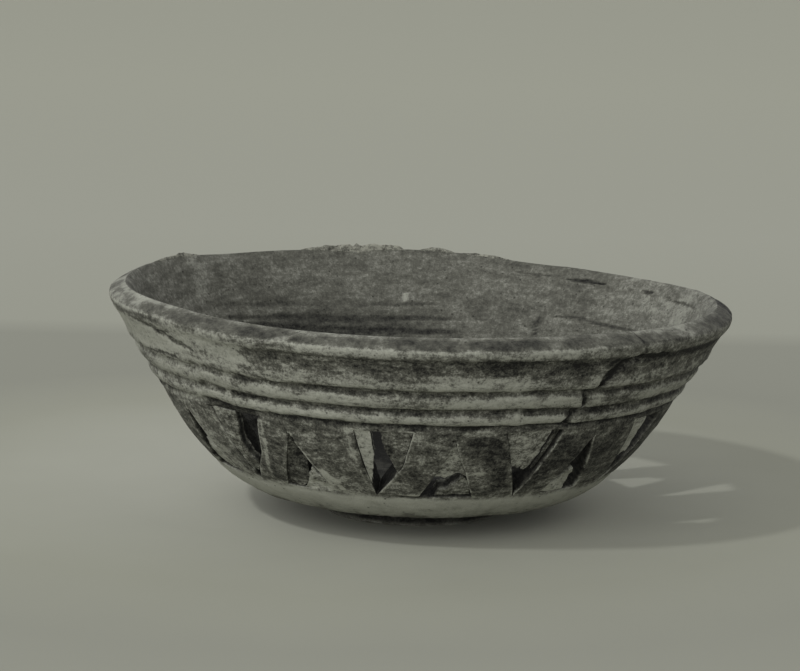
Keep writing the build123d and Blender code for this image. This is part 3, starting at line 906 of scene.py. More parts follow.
@dataclass
class Wall:
    """The thrown wall: a body and two rim sherds mended into it, made of one grid of columns and rows."""

    bowl: Bowl
    line_reach: int = 26
    # Unevenness of the ribs' pattern, of the surface, and of the wear
    wobble: tuple = (Unevenness(0.30, 16, 41, stretch=3.0), Unevenness(0.26, 4.0, 47, stretch=3.0))
    wobble_from: tuple = (13.0, 14.0)
    rough_outside: tuple = (Unevenness(0.16, 9, 3), Unevenness(0.12, 3.4, 7), Unevenness(0.09, 1.4, 9, 2))
    rough_inside: tuple = (Unevenness(0.14, 8, 63), Unevenness(0.09, 2.2, 67))
    wear_broad: Unevenness = Unevenness(0.07, 11, 21, stretch=2.4)
    wear_fine: tuple = (Unevenness(0.15, 4.5, 25, stretch=2.4), Unevenness(0.14, 1.5, 29, 2, 1.4))
    wear_within: tuple = (
        Unevenness(0.06, 10, 27, stretch=2.0), Unevenness(0.05, 3.0, 33, stretch=2.0), Unevenness(0.05, 1.4, 35, 2),
    )
    # Ribs worn smooth: azimuth and spread of both places, how far the relief goes, wear and its share
    smooth_places: tuple = ((-74.0, 36.0), (88.0, 26.0))
    right_smooth_from: float = 46.0
    smoothing: float = 0.7
    smooth_worn: tuple = (0.66, 0.95)
    left_ribs_worn: float = 0.58
    ribs_worn_from: float = 0.3
    worn_within: float = 0.335
    # Throwing rings inside, which grow calm towards the lip
    ring_height: float = 0.10
    ring_pitch: float = 4.1
    ring_drift: Unevenness = Unevenness(1.2, 25, 61)
    calm_share: float = 0.2
    calm_heights: tuple = (57.2, 54.5)
    # Painted highlight on the windows' right edges, wear of their left edges and dirt of a mend: base, share of the
    # noise, least and most
    edge_noise: Unevenness = Unevenness(1.0, 3.0, 37)
    painted_highlight_right: tuple = (0.22, 0.4, 0.0, 0.5)
    rubbed_left: tuple = (0.0, 0.6, -0.1, 0.4)
    mend_dirt: tuple = (0.25, 0.6, 0.0, 0.7)
    mend_start: int = 3
    # Walls round the solids' edges, and how far the edges draw back: at least, and more by the noise's power
    first_seed: int = 101
    chamfer: float = 0.08
    wall_steps: int = 6
    wall_rough: Unevenness = Unevenness(0.22, 2.4, 70)
    wall_worn: float = 0.10
    wall_mottle: float = 0.6
    loss: tuple = (0.02, 0.22)
    loss_noise: Unevenness = Unevenness(1.0, 2.2, 0)
    loss_power: float = 1.3
    # Strength of the finish's noise inside and on the ledge
    mottle_within: float = 0.40
    mottle_ledge: float = 0.28
    azimuth: np.ndarray = field(init=False)
    first_columns: np.ndarray = field(init=False)
    outer_rows: np.ndarray = field(init=False)
    inner_rows: np.ndarray = field(init=False)
    sherd_row: int = field(init=False)
    lines: dict[str, int] = field(init=False, default_factory=dict)
    outer: np.ndarray = field(init=False)
    inner: np.ndarray = field(init=False)
    outer_wear_and_light: np.ndarray = field(init=False)
    inner_wear_and_shade: np.ndarray = field(init=False)

    def __post_init__(self) -> None:
        """Work out the grid, the joins' columns and both surfaces."""
        bowl = self.bowl
        self.azimuth, self.first_columns = bowl.columns()
        self.outer_rows, self.inner_rows = bowl.outer_profile(), bowl.inner_profile()
        self.sherd_row = int(np.argmin(abs(self.outer_rows[: bowl.band_start, 1] - bowl.sherd_foot)))
        heights = np.minimum(self.outer_rows[:, 1], bowl.crest[1])
        self.draw_line("right_join", bowl.join_azimuth(bowl.right_join, heights))
        self.draw_line("right_end", bowl.end_azimuth(1, heights))
        self.draw_line("left_end", bowl.end_azimuth(-1, heights))
        self.draw_line("left_join", bowl.join_azimuth(bowl.left_join, heights))
        self.surface()

    def draw_line(self, name: str, wanted: np.ndarray) -> None:
        """Bend the columns above the band so that one of them follows a line of azimuths.

        The nearest column moves all the way, and its neighbours by a smooth share of it that ends at a reach.

        Args:
            name: the line's name.
            wanted: its azimuth at each row.
        """
        rows = slice(0, self.sherd_row + 1)
        middle = wanted[rows].mean()
        gap = turned_from(self.azimuth[:, rows].mean(axis=1), middle)
        column = int(np.argmin(abs(gap)))
        count = len(self.azimuth)
        away = (np.arange(count) - column + count // 2) % count - count // 2
        share = 1 - smooth_step(0, self.line_reach, abs(away).astype(float))
        move = turned_from(wanted, self.azimuth[column])
        fade = 1 - smooth_step(self.sherd_row, self.bowl.band_start, np.arange(len(move)))
        self.azimuth += share[:, None] * (move * np.where(np.arange(len(move)) <= self.sherd_row, 1, fade))
        self.lines[name] = column

    def relief(self, height: np.ndarray) -> np.ndarray:
        """How far the outside stands out at heights, by straight lines between the bowl's relief levels."""
        spots, levels = np.array(self.bowl.relief_levels).T
        return np.interp(height, spots, levels)

    def surface(self) -> None:
        """Points of both sides of the wall, and their wear with painted light and shade."""
        plain = self.spread(self.outer_rows)
        height = plain[..., 2]
        pattern = height + summed(self.wobble, plain) * smooth_step(*self.wobble_from, height)
        pattern = pattern - zoned(PATTERN_LIFTS, self.azimuth, height)
        self.outer_wear_and_light = self.wear_and_light_outside(plain, pattern)
        smooth = np.maximum(self.smooth_left(height), self.near_smooth(1) * (height > self.right_smooth_from))
        relief = self.relief(pattern) * (1 - self.smoothing * smooth) + summed(self.rough_outside, plain)
        self.outer = self.raised(plain, self.outer_rows, relief, OUTSIDE_STROKES, self.outer_wear_and_light, 1)
        plain = self.spread(self.inner_rows)
        height = plain[..., 2]
        self.inner_wear_and_shade = self.wear_and_shade_inside(plain, height)
        turning = self.ring_height * np.sin(height * 2 * math.pi / self.ring_pitch + self.ring_drift.at(plain))
        calm = self.calm_share + (1 - self.calm_share) * smooth_step(*self.calm_heights, height)
        relief = (turning + summed(self.rough_inside, plain)) * calm
        self.inner = self.raised(plain, self.inner_rows, relief, INSIDE_STROKES, self.inner_wear_and_shade, -1)
        self.inner[:, 0] = self.outer[:, 0]
        self.inner_wear_and_shade[:, 0] = self.outer_wear_and_light[:, 0]
        self.edge_highlight_wear_and_dirt()

    def spread(self, rows: np.ndarray) -> np.ndarray:
        """Points of one side without relief: every row's radius and height at every column's azimuth."""
        shape = self.azimuth.shape
        return around(np.broadcast_to(rows[:, 0], shape), self.azimuth, np.broadcast_to(rows[:, 1], shape))

    def raised(
        self, plain: np.ndarray, rows: np.ndarray, relief: np.ndarray, strokes: tuple, worn: np.ndarray, side: int
    ) -> np.ndarray:
        """Points moved square to the profile by the relief and the strokes, whose wear is written into worn.

        Args:
            plain: points without relief.
            rows: radius and height of that side's rows.
            relief: distance outwards, or inwards on the inside.
            strokes: marks on that side.
            worn: wear at the points, changed in place.
            side: 1 for the outside, -1 for the inside.

        Returns:
            The moved points.
        """
        for stroke in strokes:
            cover = stroke.cover(plain, rows)
            worn += cover * stroke.share * (stroke.worn - worn)
            relief = relief + cover * stroke.depth
        tangent = np.gradient(rows, axis=0)
        tangent /= np.linalg.norm(tangent, axis=1, keepdims=True)
        normal = -tangent[:, 1:] * level_direction(plain) + np.array([0, 0, 1]) * tangent[:, :1]
        return plain + (side * relief)[..., None] * normal

    def near_smooth(self, number: int) -> np.ndarray:
        """Nearness to one of the smooth places, as a bell of the azimuth."""
        middle, spread = self.smooth_places[number]
        return swell(turned_from(self.azimuth, middle), 0, spread)

    def smooth_left(self, height: np.ndarray) -> np.ndarray:
        """Share by which the ribs are worn away, highest on the left under the edge."""
        return self.near_smooth(0) * SMOOTH_BELT.at(self.azimuth, height)

    def wear_and_light_outside(self, points: np.ndarray, height: np.ndarray) -> np.ndarray:
        """How worn the outside is, from 0, dark slip, to 1, bare pale clay, zone by zone up the wall, with painted
        bounce light under the ledge and painted shade on the sides of the lip's crest.

        Args:
            points: the plain wall's points.
            height: height in the ribs' pattern of each.

        Returns:
            Wear at each point.
        """
        front = turned_from(self.azimuth, 0)
        ribbed = smooth_step(*RIBBED, height)
        spots, levels = np.array(self.bowl.wear_and_bounce_levels).T
        worn = np.interp(height, spots, levels)
        level, share = self.smooth_worn
        worn = worn + (level - worn) * share * self.smooth_left(points[..., 2]) * ribbed
        worn = worn + (self.left_ribs_worn - worn) * LEFT_RIBS.at(front, height)
        worn = worn + RIGHT_RIBS.at(front, height) * (worn > self.ribs_worn_from)
        worn = worn + zoned(OUTSIDE_ZONES, front, height)
        return worn + (1 + ribbed) * self.wear_broad.at(points) + summed(self.wear_fine, points)

    def wear_and_shade_inside(self, points: np.ndarray, height: np.ndarray) -> np.ndarray:
        """How worn the inside is: even and thinly slipped, darkened low down by painted shade."""
        zones = zoned(INSIDE_ZONES, turned_from(self.azimuth, 0), height)
        return self.worn_within + zones + summed(self.wear_within, points)

    def mottle(self, inside: bool) -> np.ndarray:
        """Strength of the finish's noise: full on the ribs and band, less inside and on the smooth ledge.

        Args:
            inside: whether it is for the inside.

        Returns:
            The strength at each point of the grid.
        """
        if inside:
            return np.full(self.azimuth.shape, self.mottle_within)
        height = np.broadcast_to(self.outer_rows[:, 1], self.azimuth.shape)
        return self.mottle_ledge + zoned(MOTTLE_ZONES, self.azimuth, height)

    def edge_highlight_wear_and_dirt(self) -> None:
        """Painted highlights along the windows' right edges, uneven wear of their left edges, and dirt along the
        right mend.
        """
        uneven = self.edge_noise.at(self.outer)
        places = []
        for window, first in zip(self.bowl.windows(), self.first_columns):
            rows = slice(*self.bowl.window_rows(window))
            right = (first + self.bowl.window_columns) % len(self.azimuth)
            # The pale line right of each window is a painted highlight on the edge that faces the light
            places += [(right, rows, 1, self.painted_highlight_right), (first, rows, 1, self.rubbed_left)]
        places.append((self.lines["right_join"], slice(self.mend_start, self.sherd_row), -1, self.mend_dirt))
        for column, rows, sign, (base, share, least, most) in places:
            self.outer_wear_and_light[column, rows] += sign * np.clip(base + share * uneven[column, rows], least, most)

    def kept_cells(self) -> dict[str, np.ndarray]:
        """Share out the grid's cells.

        Returns:
            For the body and each rim sherd, which cells belong to it.
        """
        bowl = self.bowl
        count, rows = self.azimuth.shape
        body = np.ones((count, rows - 1), bool)
        for window, first in zip(bowl.windows(), self.first_columns):
            low, high = bowl.window_rows(window)
            body[first : first + bowl.window_columns, low:high] = False
        cells = {"bowl_body": body}
        column = np.arange(count)
        for side, first, last in (("right", "right_join", "right_end"), ("left", "left_end", "left_join")):
            width = (self.lines[last] - self.lines[first]) % count
            inside = (column - self.lines[first]) % count < width
            sherd = np.zeros_like(body)
            sherd[inside, : self.sherd_row] = True
            body &= ~sherd
            cells[f"rim_sherd_{side}"] = sherd
        return cells

    def solid(self, kept: np.ndarray, seed: int) -> Shell:
        """Closed solid over some cells: both sides of the wall there, and broken or cut walls round their edge.

        The points on the edge draw back into the material by a small uneven amount, and the walls between the
        two sides are ladders of points with a little roughness.

        Args:
            kept: which cells belong to it.
            seed: which random field wears its edge.

        Returns:
            The solid's shell.
        """
        count, rows = self.azimuth.shape
        outer = self.drawn_back(self.outer, kept, seed, self.chamfer)
        inner = self.drawn_back(self.inner, kept, seed, 0)
        inner[:, 0] = outer[:, 0]
        outer_ids = np.arange(count * rows).reshape(count, rows)
        inner_ids = outer_ids + count * rows
        inner_ids[:, 0] = outer_ids[:, 0]
        outer_ids[:, -1] = outer_ids[0, -1]
        inner_ids[:, -1] = inner_ids[0, -1]
        ahead = np.roll(outer_ids, -1, axis=0)
        outside = np.stack([outer_ids[:, :-1], outer_ids[:, 1:], ahead[:, 1:], ahead[:, :-1]], -1)[kept]
        ahead = np.roll(inner_ids, -1, axis=0)
        inside = np.stack([inner_ids[:, :-1], ahead[:, :-1], ahead[:, 1:], inner_ids[:, 1:]], -1)[kept]
        starts, ends = self.edge_pairs(kept)
        bound, place = np.unique(np.concatenate([starts, ends]), return_inverse=True)
        points = np.concatenate([outer.reshape(-1, 3), inner.reshape(-1, 3)])
        near, far = outer_ids.ravel()[bound], inner_ids.ravel()[bound]
        points, ladder = bridged(points, near, far, self.wall_steps, self.wall_rough, seed)
        crest = bound % rows == 0
        ladder[crest] = ladder[crest][:, :1]
        a, b = ladder[place[: len(starts)]], ladder[place[len(starts) :]]
        walls = np.stack([a[:, :-1], b[:, :-1], b[:, 1:], a[:, 1:]], -1).reshape(-1, 4)
        between = len(points) - 2 * count * rows
        broken = np.repeat([0.0, 1.0], [2 * count * rows, between])
        worn = [self.outer_wear_and_light.ravel(), self.inner_wear_and_shade.ravel(), np.full(between, self.wall_worn)]
        mottle = [self.mottle(False).ravel(), self.mottle(True).ravel(), np.full(between, self.wall_mottle)]
        quads = np.concatenate([outside, inside, walls]).reshape(-1, 4)
        # The worn mark carries wear, and also the painted highlights and shade of both sides
        marks = {"worn": np.concatenate(worn), "broken": broken, "mottle": np.concatenate(mottle)}
        return Shell(points, quads, marks)

    def edge_pairs(self, kept: np.ndarray) -> tuple[np.ndarray, np.ndarray]:
        """Edges between kept and missing cells, each directed to face away from the kept.

        Args:
            kept: which cells are kept.

        Returns:
            Point numbers of the edges' starts and of their ends.
        """
        count, rows = self.azimuth.shape
        ids = np.arange(count * rows).reshape(count, rows)
        before = np.roll(kept, 1, axis=0)
        right_facing = before & ~kept
        left_facing = kept & ~before
        upper, lower = ids[:, :-1], ids[:, 1:]
        pairs = [(upper[right_facing], lower[right_facing]), (lower[left_facing], upper[left_facing])]
        ahead = np.roll(ids, -1, axis=0)
        above, below = kept[:, :-1], kept[:, 1:]
        down_facing, up_facing = above & ~below, below & ~above
        here, there = ids[:, 1:-1], ahead[:, 1:-1]
        pairs += [(there[down_facing], here[down_facing]), (here[up_facing], there[up_facing])]
        return np.concatenate([p[0] for p in pairs]), np.concatenate([p[1] for p in pairs])

    def drawn_back(self, surface: np.ndarray, kept: np.ndarray, seed: int, chamfer: float) -> np.ndarray:
        """A surface whose edge points have drawn back into the kept cells, and a little into the wall.

        Each moves towards the middle of its kept neighbours by 0.02 to 0.24 mm, as smooth noise says.

        Args:
            surface: points of one side of the wall.
            kept: which cells belong to the solid.
            seed: which random field.
            chamfer: how far an edge point also sinks towards the axis.

        Returns:
            The moved points.
        """
        ahead = np.roll(surface, -1, axis=0)
        centres = (surface[:, :-1] + surface[:, 1:] + ahead[:, :-1] + ahead[:, 1:]) / 4
        rows = kept.shape[1]
        pull = np.zeros_like(surface)
        near = np.zeros(surface.shape[:2])
        gone = np.zeros(surface.shape[:2])
        for shift in (0, 1):
            cells, middles = np.roll(kept, shift, axis=0), np.roll(centres, shift, axis=0)
            for rows_here in (slice(0, rows), slice(1, rows + 1)):
                weight = cells[..., None]
                pull[:, rows_here] += weight * (middles - surface[:, rows_here])
                near[:, rows_here] += cells
                gone[:, rows_here] += ~cells
        bound = (near > 0) & (gone > 0)
        length = np.linalg.norm(pull, axis=-1, keepdims=True)
        direction = np.where(length > TINY, pull / np.maximum(length, TINY), 0)
        least, more = self.loss
        loss = least + more * np.clip(self.loss_noise.at(surface, seed), 0, 1) ** self.loss_power
        moved = surface + (bound * loss)[..., None] * direction
        return moved - (bound * chamfer)[..., None] * level_direction(surface)

    def build(self, materials: dict) -> None:
        """Make the body and the two rim sherds in the wall's material."""
        for seed, (name, kept) in enumerate(self.kept_cells().items(), self.first_seed):
            make_piece(name, self.solid(kept, seed), materials["wall"], [name])


# Broken plates in the windows


@dataclass(frozen=True)
class Plate:
    """One broken plate: which part of its window it fills, as shares of the window's width and height.

    Each side is None where it follows the window's own edge, or else the points of a broken line: for left and
    right, pairs of up share and across share; for low and high, pairs of across share and up share. It lies
    depth millimetres in, turn_in more at its right edge, and lumps is the height of its lumps.
    """

    node: str
    kind: WindowKind
    number: int
    left: tuple | None = None
    right: tuple | None = None
    low: tuple = ((0, 0), (1, 0))
    high: tuple = ((0, 1), (1, 1))
    depth: float = 0.8
    turn_in: float = 0.0
    thickness: float = 1.8
    worn: float = 0.5
    lumps: float = 0.12


PLATES = (
    Plate("pane_down_01_left", WindowKind.DOWN, 1,
          right=((0.13, 0.38), (0.20, 0.44), (0.28, 0.46), (0.38, 0.38), (0.52, 0.36), (0.66, 0.38), (0.80, 0.46),
                 (0.92, 0.50), (1, 0.52)),
          low=((0, 0.14), (1, 0.14)), worn=0.38, depth=0.15, turn_in=0.5, lumps=0.35),
    Plate("pane_down_02_left", WindowKind.DOWN, 2,
          right=((0.2, 0.27), (0.40, 0.30), (0.62, 0.32), (0.84, 0.30), (1, 0.29)), low=((0, 0.22), (1, 0.22)),
          worn=0.72, depth=0.35),
    Plate("pane_down_02_right", WindowKind.DOWN, 2,
          left=((0.38, 0.72), (0.50, 0.66), (0.62, 0.60), (0.73, 0.52), (0.90, 0.47), (1, 0.45)),
          low=((0, 0.38), (1, 0.38)), worn=0.26, depth=0.4),
    Plate("pane_down_03_left", WindowKind.DOWN, 3,
          right=((0.44, 0.52), (0.52, 0.60), (0.68, 0.68), (0.86, 0.74), (1, 0.78)), low=((0, 0.52), (1, 0.44)),
          worn=0.42, depth=0.5),
    Plate("pane_down_03_right", WindowKind.DOWN, 3,
          left=((0.40, 0.72), (0.58, 0.78), (0.80, 0.86), (1, 0.90)), low=((0, 0.40), (1, 0.40)),
          worn=0.22, depth=1.5),
    Plate("pane_down_04_top", WindowKind.DOWN, 4,
          right=((0.40, 0.46), (0.50, 0.54), (0.62, 0.52), (0.80, 0.45), (0.92, 0.46), (1, 0.42)),
          low=((0, 0.46), (0.3, 0.50), (0.5, 0.44), (0.7, 0.50), (1, 0.52)), worn=0.70, depth=0.35, lumps=0.5),
    Plate("pane_down_05_left", WindowKind.DOWN, 5,
          right=((0.3, 0.36), (0.55, 0.41), (0.76, 0.34), (1, 0.36)), low=((0, 0.30), (1, 0.34)), worn=0.45),
    Plate("pane_down_07_top", WindowKind.DOWN, 7,
          low=((0, 0.62), (0.40, 0.58), (0.58, 0.74), (0.72, 0.66), (1, 0.72)), worn=0.45),
    Plate("pane_down_08_right", WindowKind.DOWN, 8,
          left=((0.36, 0.60), (0.60, 0.64), (0.82, 0.55), (1, 0.58)), low=((0, 0.38), (1, 0.34)), worn=0.55),
    Plate("pane_down_10_left", WindowKind.DOWN, 10,
          right=((0.26, 0.56), (0.40, 0.63), (0.56, 0.68), (0.80, 0.80), (1, 0.86)),
          low=((0, 0.26), (1, 0.30)), worn=0.44, depth=0.3),
    Plate("pane_up_01_top", WindowKind.UP, 1,
          low=((0, 0.0), (0.30, 0.02), (0.46, 0.12), (0.60, 0.34), (0.74, 0.52), (0.86, 0.50), (1, 0.62)),
          worn=0.16, depth=0.5, turn_in=1.0, lumps=0.8),
    Plate("pane_up_01_sill", WindowKind.UP, 1, left=((0, 0.36), (0.12, 0.44), (0.26, 0.54), (0.40, 0.62)),
          high=((0, 0.30), (0.35, 0.44), (0.60, 0.42), (0.84, 0.30), (1, 0.22)),
          worn=0.60, depth=0.3, thickness=3.6, lumps=0.7),
    Plate("pane_up_02_top", WindowKind.UP, 2,
          low=((0, 0.42), (0.2, 0.42), (0.34, 0.38), (0.5, 0.46), (0.66, 0.50), (0.82, 0.50), (1, 0.44)),
          worn=0.46, depth=0.4),
    Plate("pane_up_02_sill", WindowKind.UP, 2, left=((0, 0.32), (0.10, 0.38), (0.22, 0.44), (0.32, 0.52)),
          right=((0, 0.97), (0.16, 0.93), (0.34, 0.84), (0.44, 0.74)),
          high=((0, 0.10), (0.38, 0.22), (0.48, 0.29), (0.60, 0.35), (0.80, 0.40), (0.92, 0.34), (1, 0.26)),
          worn=0.46, depth=1.0, thickness=3.6, lumps=1.0),
    Plate("pane_up_03_sill", WindowKind.UP, 3, right=((0, 0.66), (0.22, 0.58), (0.44, 0.50), (0.52, 0.42)),
          high=((0, 0.10), (0.30, 0.26), (0.55, 0.40), (0.75, 0.46), (1, 0.36)), worn=0.62, depth=0.5, thickness=3.6,
          lumps=0.5),
    Plate("pane_up_04_whole", WindowKind.UP, 4, worn=0.18, depth=0.25, lumps=0.25),
    Plate("pane_up_05_top", WindowKind.UP, 5,
          low=((0, 0.60), (0.34, 0.58), (0.52, 0.66), (0.70, 0.54), (1, 0.56)), worn=0.45),
    Plate("pane_up_07_sill", WindowKind.UP, 7, high=((0, 0.34), (0.30, 0.38), (0.48, 0.26), (0.66, 0.34), (1, 0.22)),
          worn=0.55, depth=0.9, thickness=3.6, lumps=0.5),
    Plate("pane_up_08_top", WindowKind.UP, 8,
          low=((0, 0.50), (0.30, 0.52), (0.46, 0.44), (0.62, 0.56), (1, 0.60)), worn=0.45),
    Plate("pane_up_10_sill", WindowKind.UP, 10, right=((0, 0.74), (0.30, 0.62), (0.5, 0.46)),
          high=((0, 0.44), (0.34, 0.50), (0.6, 0.36), (1, 0.30)), worn=0.60, depth=0.9, thickness=3.6, lumps=0.5),
)


@dataclass
class Plates:
    """The remains of thin plates that closed the windows."""

    bowl: Bowl
    first_seed: int = 301
    clearance: float = 0.04
    # Sheets: point spacing and its share, usual height, and the fewest columns and rows
    grain: float = 0.33
    density: float = 0.8
    usual_height: float = 20.0
    fewest: tuple = (8, 10)
    narrowest: float = 0.12
    # Broken lines are ragged, but not where they keep within this share of a whole edge
    whole_edge: float = 0.02
    low_ragged: Unevenness = Unevenness(0.035, 2.2, 0)
    high_ragged: Unevenness = Unevenness(0.035, 2.2, 9)
    side_ragged: Unevenness = Unevenness(0.38, 2.0, 17)
    lump_noise: Unevenness = Unevenness(1.0, 3.0, 23)
    rough: Unevenness = Unevenness(0.06, 1.0, 29)
    rim_rough: Unevenness = Unevenness(0.10, 1.1, 41)
    rim_steps: int = 3
    wear: Unevenness = Unevenness(0.10, 4.0, 51)
    mottle: float = 0.9

    def build(self, materials: dict) -> None:
        """Make every plate.

        Args:
            materials: the finishes' materials by name.
        """
        windows = self.bowl.windows()
        for seed, plate in enumerate(PLATES, self.first_seed):
            window = windows[2 * (plate.number - 1) + (plate.kind is WindowKind.UP)]
            make_piece(plate.node, self.shell(plate, window, seed), materials["plate"], [plate.node])

    def shell(self, plate: Plate, window: Window, seed: int) -> Shell:
        """Closed shell of one plate.

        A point at shares s across and t up lies at v = low(s) + t (high(s) - low(s)) of the window's height and
        at left(v) + s (right(v) - left(v)) of its width, where each line is the window's edge or a broken line.

        Args:
            plate: what is left of it.
            window: the window that holds it.
            seed: which random field breaks and roughens it.

        Returns:
            The shell, with front and back sheets and a rim of the plate's thickness.
        """
        columns = max(self.fewest[0], int(window.width / self.grain * self.density))
        rows = max(self.fewest[1], int(self.usual_height / self.grain * self.density))
        s = np.linspace(0, 1, columns)[:, None]
        t = np.linspace(0, 1, rows)[None, :]
        first, last = self.bowl.window_rows(window)
        length = self.bowl.band_length
        step = length / (self.bowl.band_end - self.bowl.band_start)
        top = length / 2 - (first - self.bowl.band_start) * step
        foot = length / 2 - (last - self.bowl.band_start) * step
        low, high = (np.interp(s, *np.array(line, float).T) for line in (plate.low, plate.high))
        wave = np.stack(np.broadcast_arrays(s * window.width, float(seed), 0.0), -1)
        low = low + self.low_ragged.at(wave, seed) * (low > self.whole_edge)
        high = high + self.high_ragged.at(wave, seed) * (high < 1 - self.whole_edge)
        v = low + t * (high - low)
        edge_left, edge_right = window.edges(v)
        up = foot + v * (top - foot)
        wave = np.stack(np.broadcast_arrays(up, seed * 3.0, 0.0), -1)
        jag = self.side_ragged.at(wave, seed)
        left, right = edge_left + self.clearance, edge_right - self.clearance
        if plate.left:
            left = np.maximum((np.interp(v, *np.array(plate.left, float).T) - 0.5) * window.width + jag, left)
        if plate.right:
            right = np.minimum((np.interp(v, *np.array(plate.right, float).T) - 0.5) * window.width + jag, right)
        right = np.maximum(right, left + self.narrowest)
        across = left + s * (right - left)
        sheets = []
        for side in (0, 1):
            depth = plate.depth + side * plate.thickness + plate.turn_in * s
            flat = np.stack(np.broadcast_arrays(across, up, seed * 5.0), -1)
            depth = depth + plate.lumps * self.lump_noise.at(flat, seed + side) + self.rough.at(flat, seed + side)
            sheets.append(self.in_window(window, across, up, depth))
        return self.closed(*sheets, plate, seed)

    def in_window(self, window: Window, across: np.ndarray, up: np.ndarray, depth: np.ndarray) -> np.ndarray:
        """Points in the bowl's frame from a window's own directions.

        Args:
            window: the window.
            across: distance along the band from the window's middle.
            up: distance up the slope from the band's middle.
            depth: distance in from the band's outside, which curves away by x² / 2r and bows out by 1 - (2u / l)².

        Returns:
            The points.
        """
        run, rise = self.bowl.slope
        radius, height = halfway(self.bowl.band_top, self.bowl.band_foot)
        angle = math.radians(window.azimuth)
        out = np.array([math.sin(angle), -math.cos(angle), 0])
        side = np.array([math.cos(angle), math.sin(angle), 0])
        upward = run * out + np.array([0, 0, rise])
        normal = rise * out - np.array([0, 0, run])
        bow = self.bowl.band_bow * (1 - (2 * up / self.bowl.band_length) ** 2)
        sunk = depth - bow + across**2 / (2 * (radius + run * up))
        origin = radius * out + np.array([0, 0, height])
        return origin + across[..., None] * side + up[..., None] * upward - sunk[..., None] * normal

    def closed(self, front: np.ndarray, back: np.ndarray, plate: Plate, seed: int) -> Shell:
        """Join a front and a back sheet by a rim of a few steps round their edge.

        Args:
            front: points of the front, columns by rows.
            back: points of the back.
            plate: the plate, for its wear.
            seed: which random field roughens the rim.

        Returns:
            The closed shell.
        """
        columns, rows = front.shape[:2]
        ids = np.arange(columns * rows).reshape(columns, rows)
        far = ids + columns * rows
        face = np.stack([ids[:-1, :-1], ids[1:, :-1], ids[1:, 1:], ids[:-1, 1:]], -1).reshape(-1, 4)
        rear = np.stack([far[:-1, :-1], far[:-1, 1:], far[1:, 1:], far[1:, :-1]], -1).reshape(-1, 4)
        ring = np.concatenate([ids[:-1, 0], ids[-1, :-1], ids[:0:-1, -1], ids[0, :0:-1]])
        points = np.concatenate([front.reshape(-1, 3), back.reshape(-1, 3)])
        points, ladder = bridged(points, ring, ring + columns * rows, self.rim_steps, self.rim_rough, seed)
        ahead = np.roll(ladder, -1, axis=0)
        rim = np.stack([ladder[:, :-1], ladder[:, 1:], ahead[:, 1:], ahead[:, :-1]], -1).reshape(-1, 4)
        broken = np.repeat([0.0, 1.0], [2 * columns * rows, len(points) - 2 * columns * rows])
        worn = plate.worn + self.wear.at(points, seed)
        marks = {"worn": worn, "broken": broken, "mottle": np.full(len(points), self.mottle)}
        return Shell(points, np.concatenate([face, rear, rim]), marks)


# Crusts and foot ring


@dataclass(frozen=True)
class Crust:
    """A crust on the lip: its first azimuth, its sweep in degrees, and its height's share at equal steps along it."""

    node: str
    start: float
    sweep: float
    heights: tuple


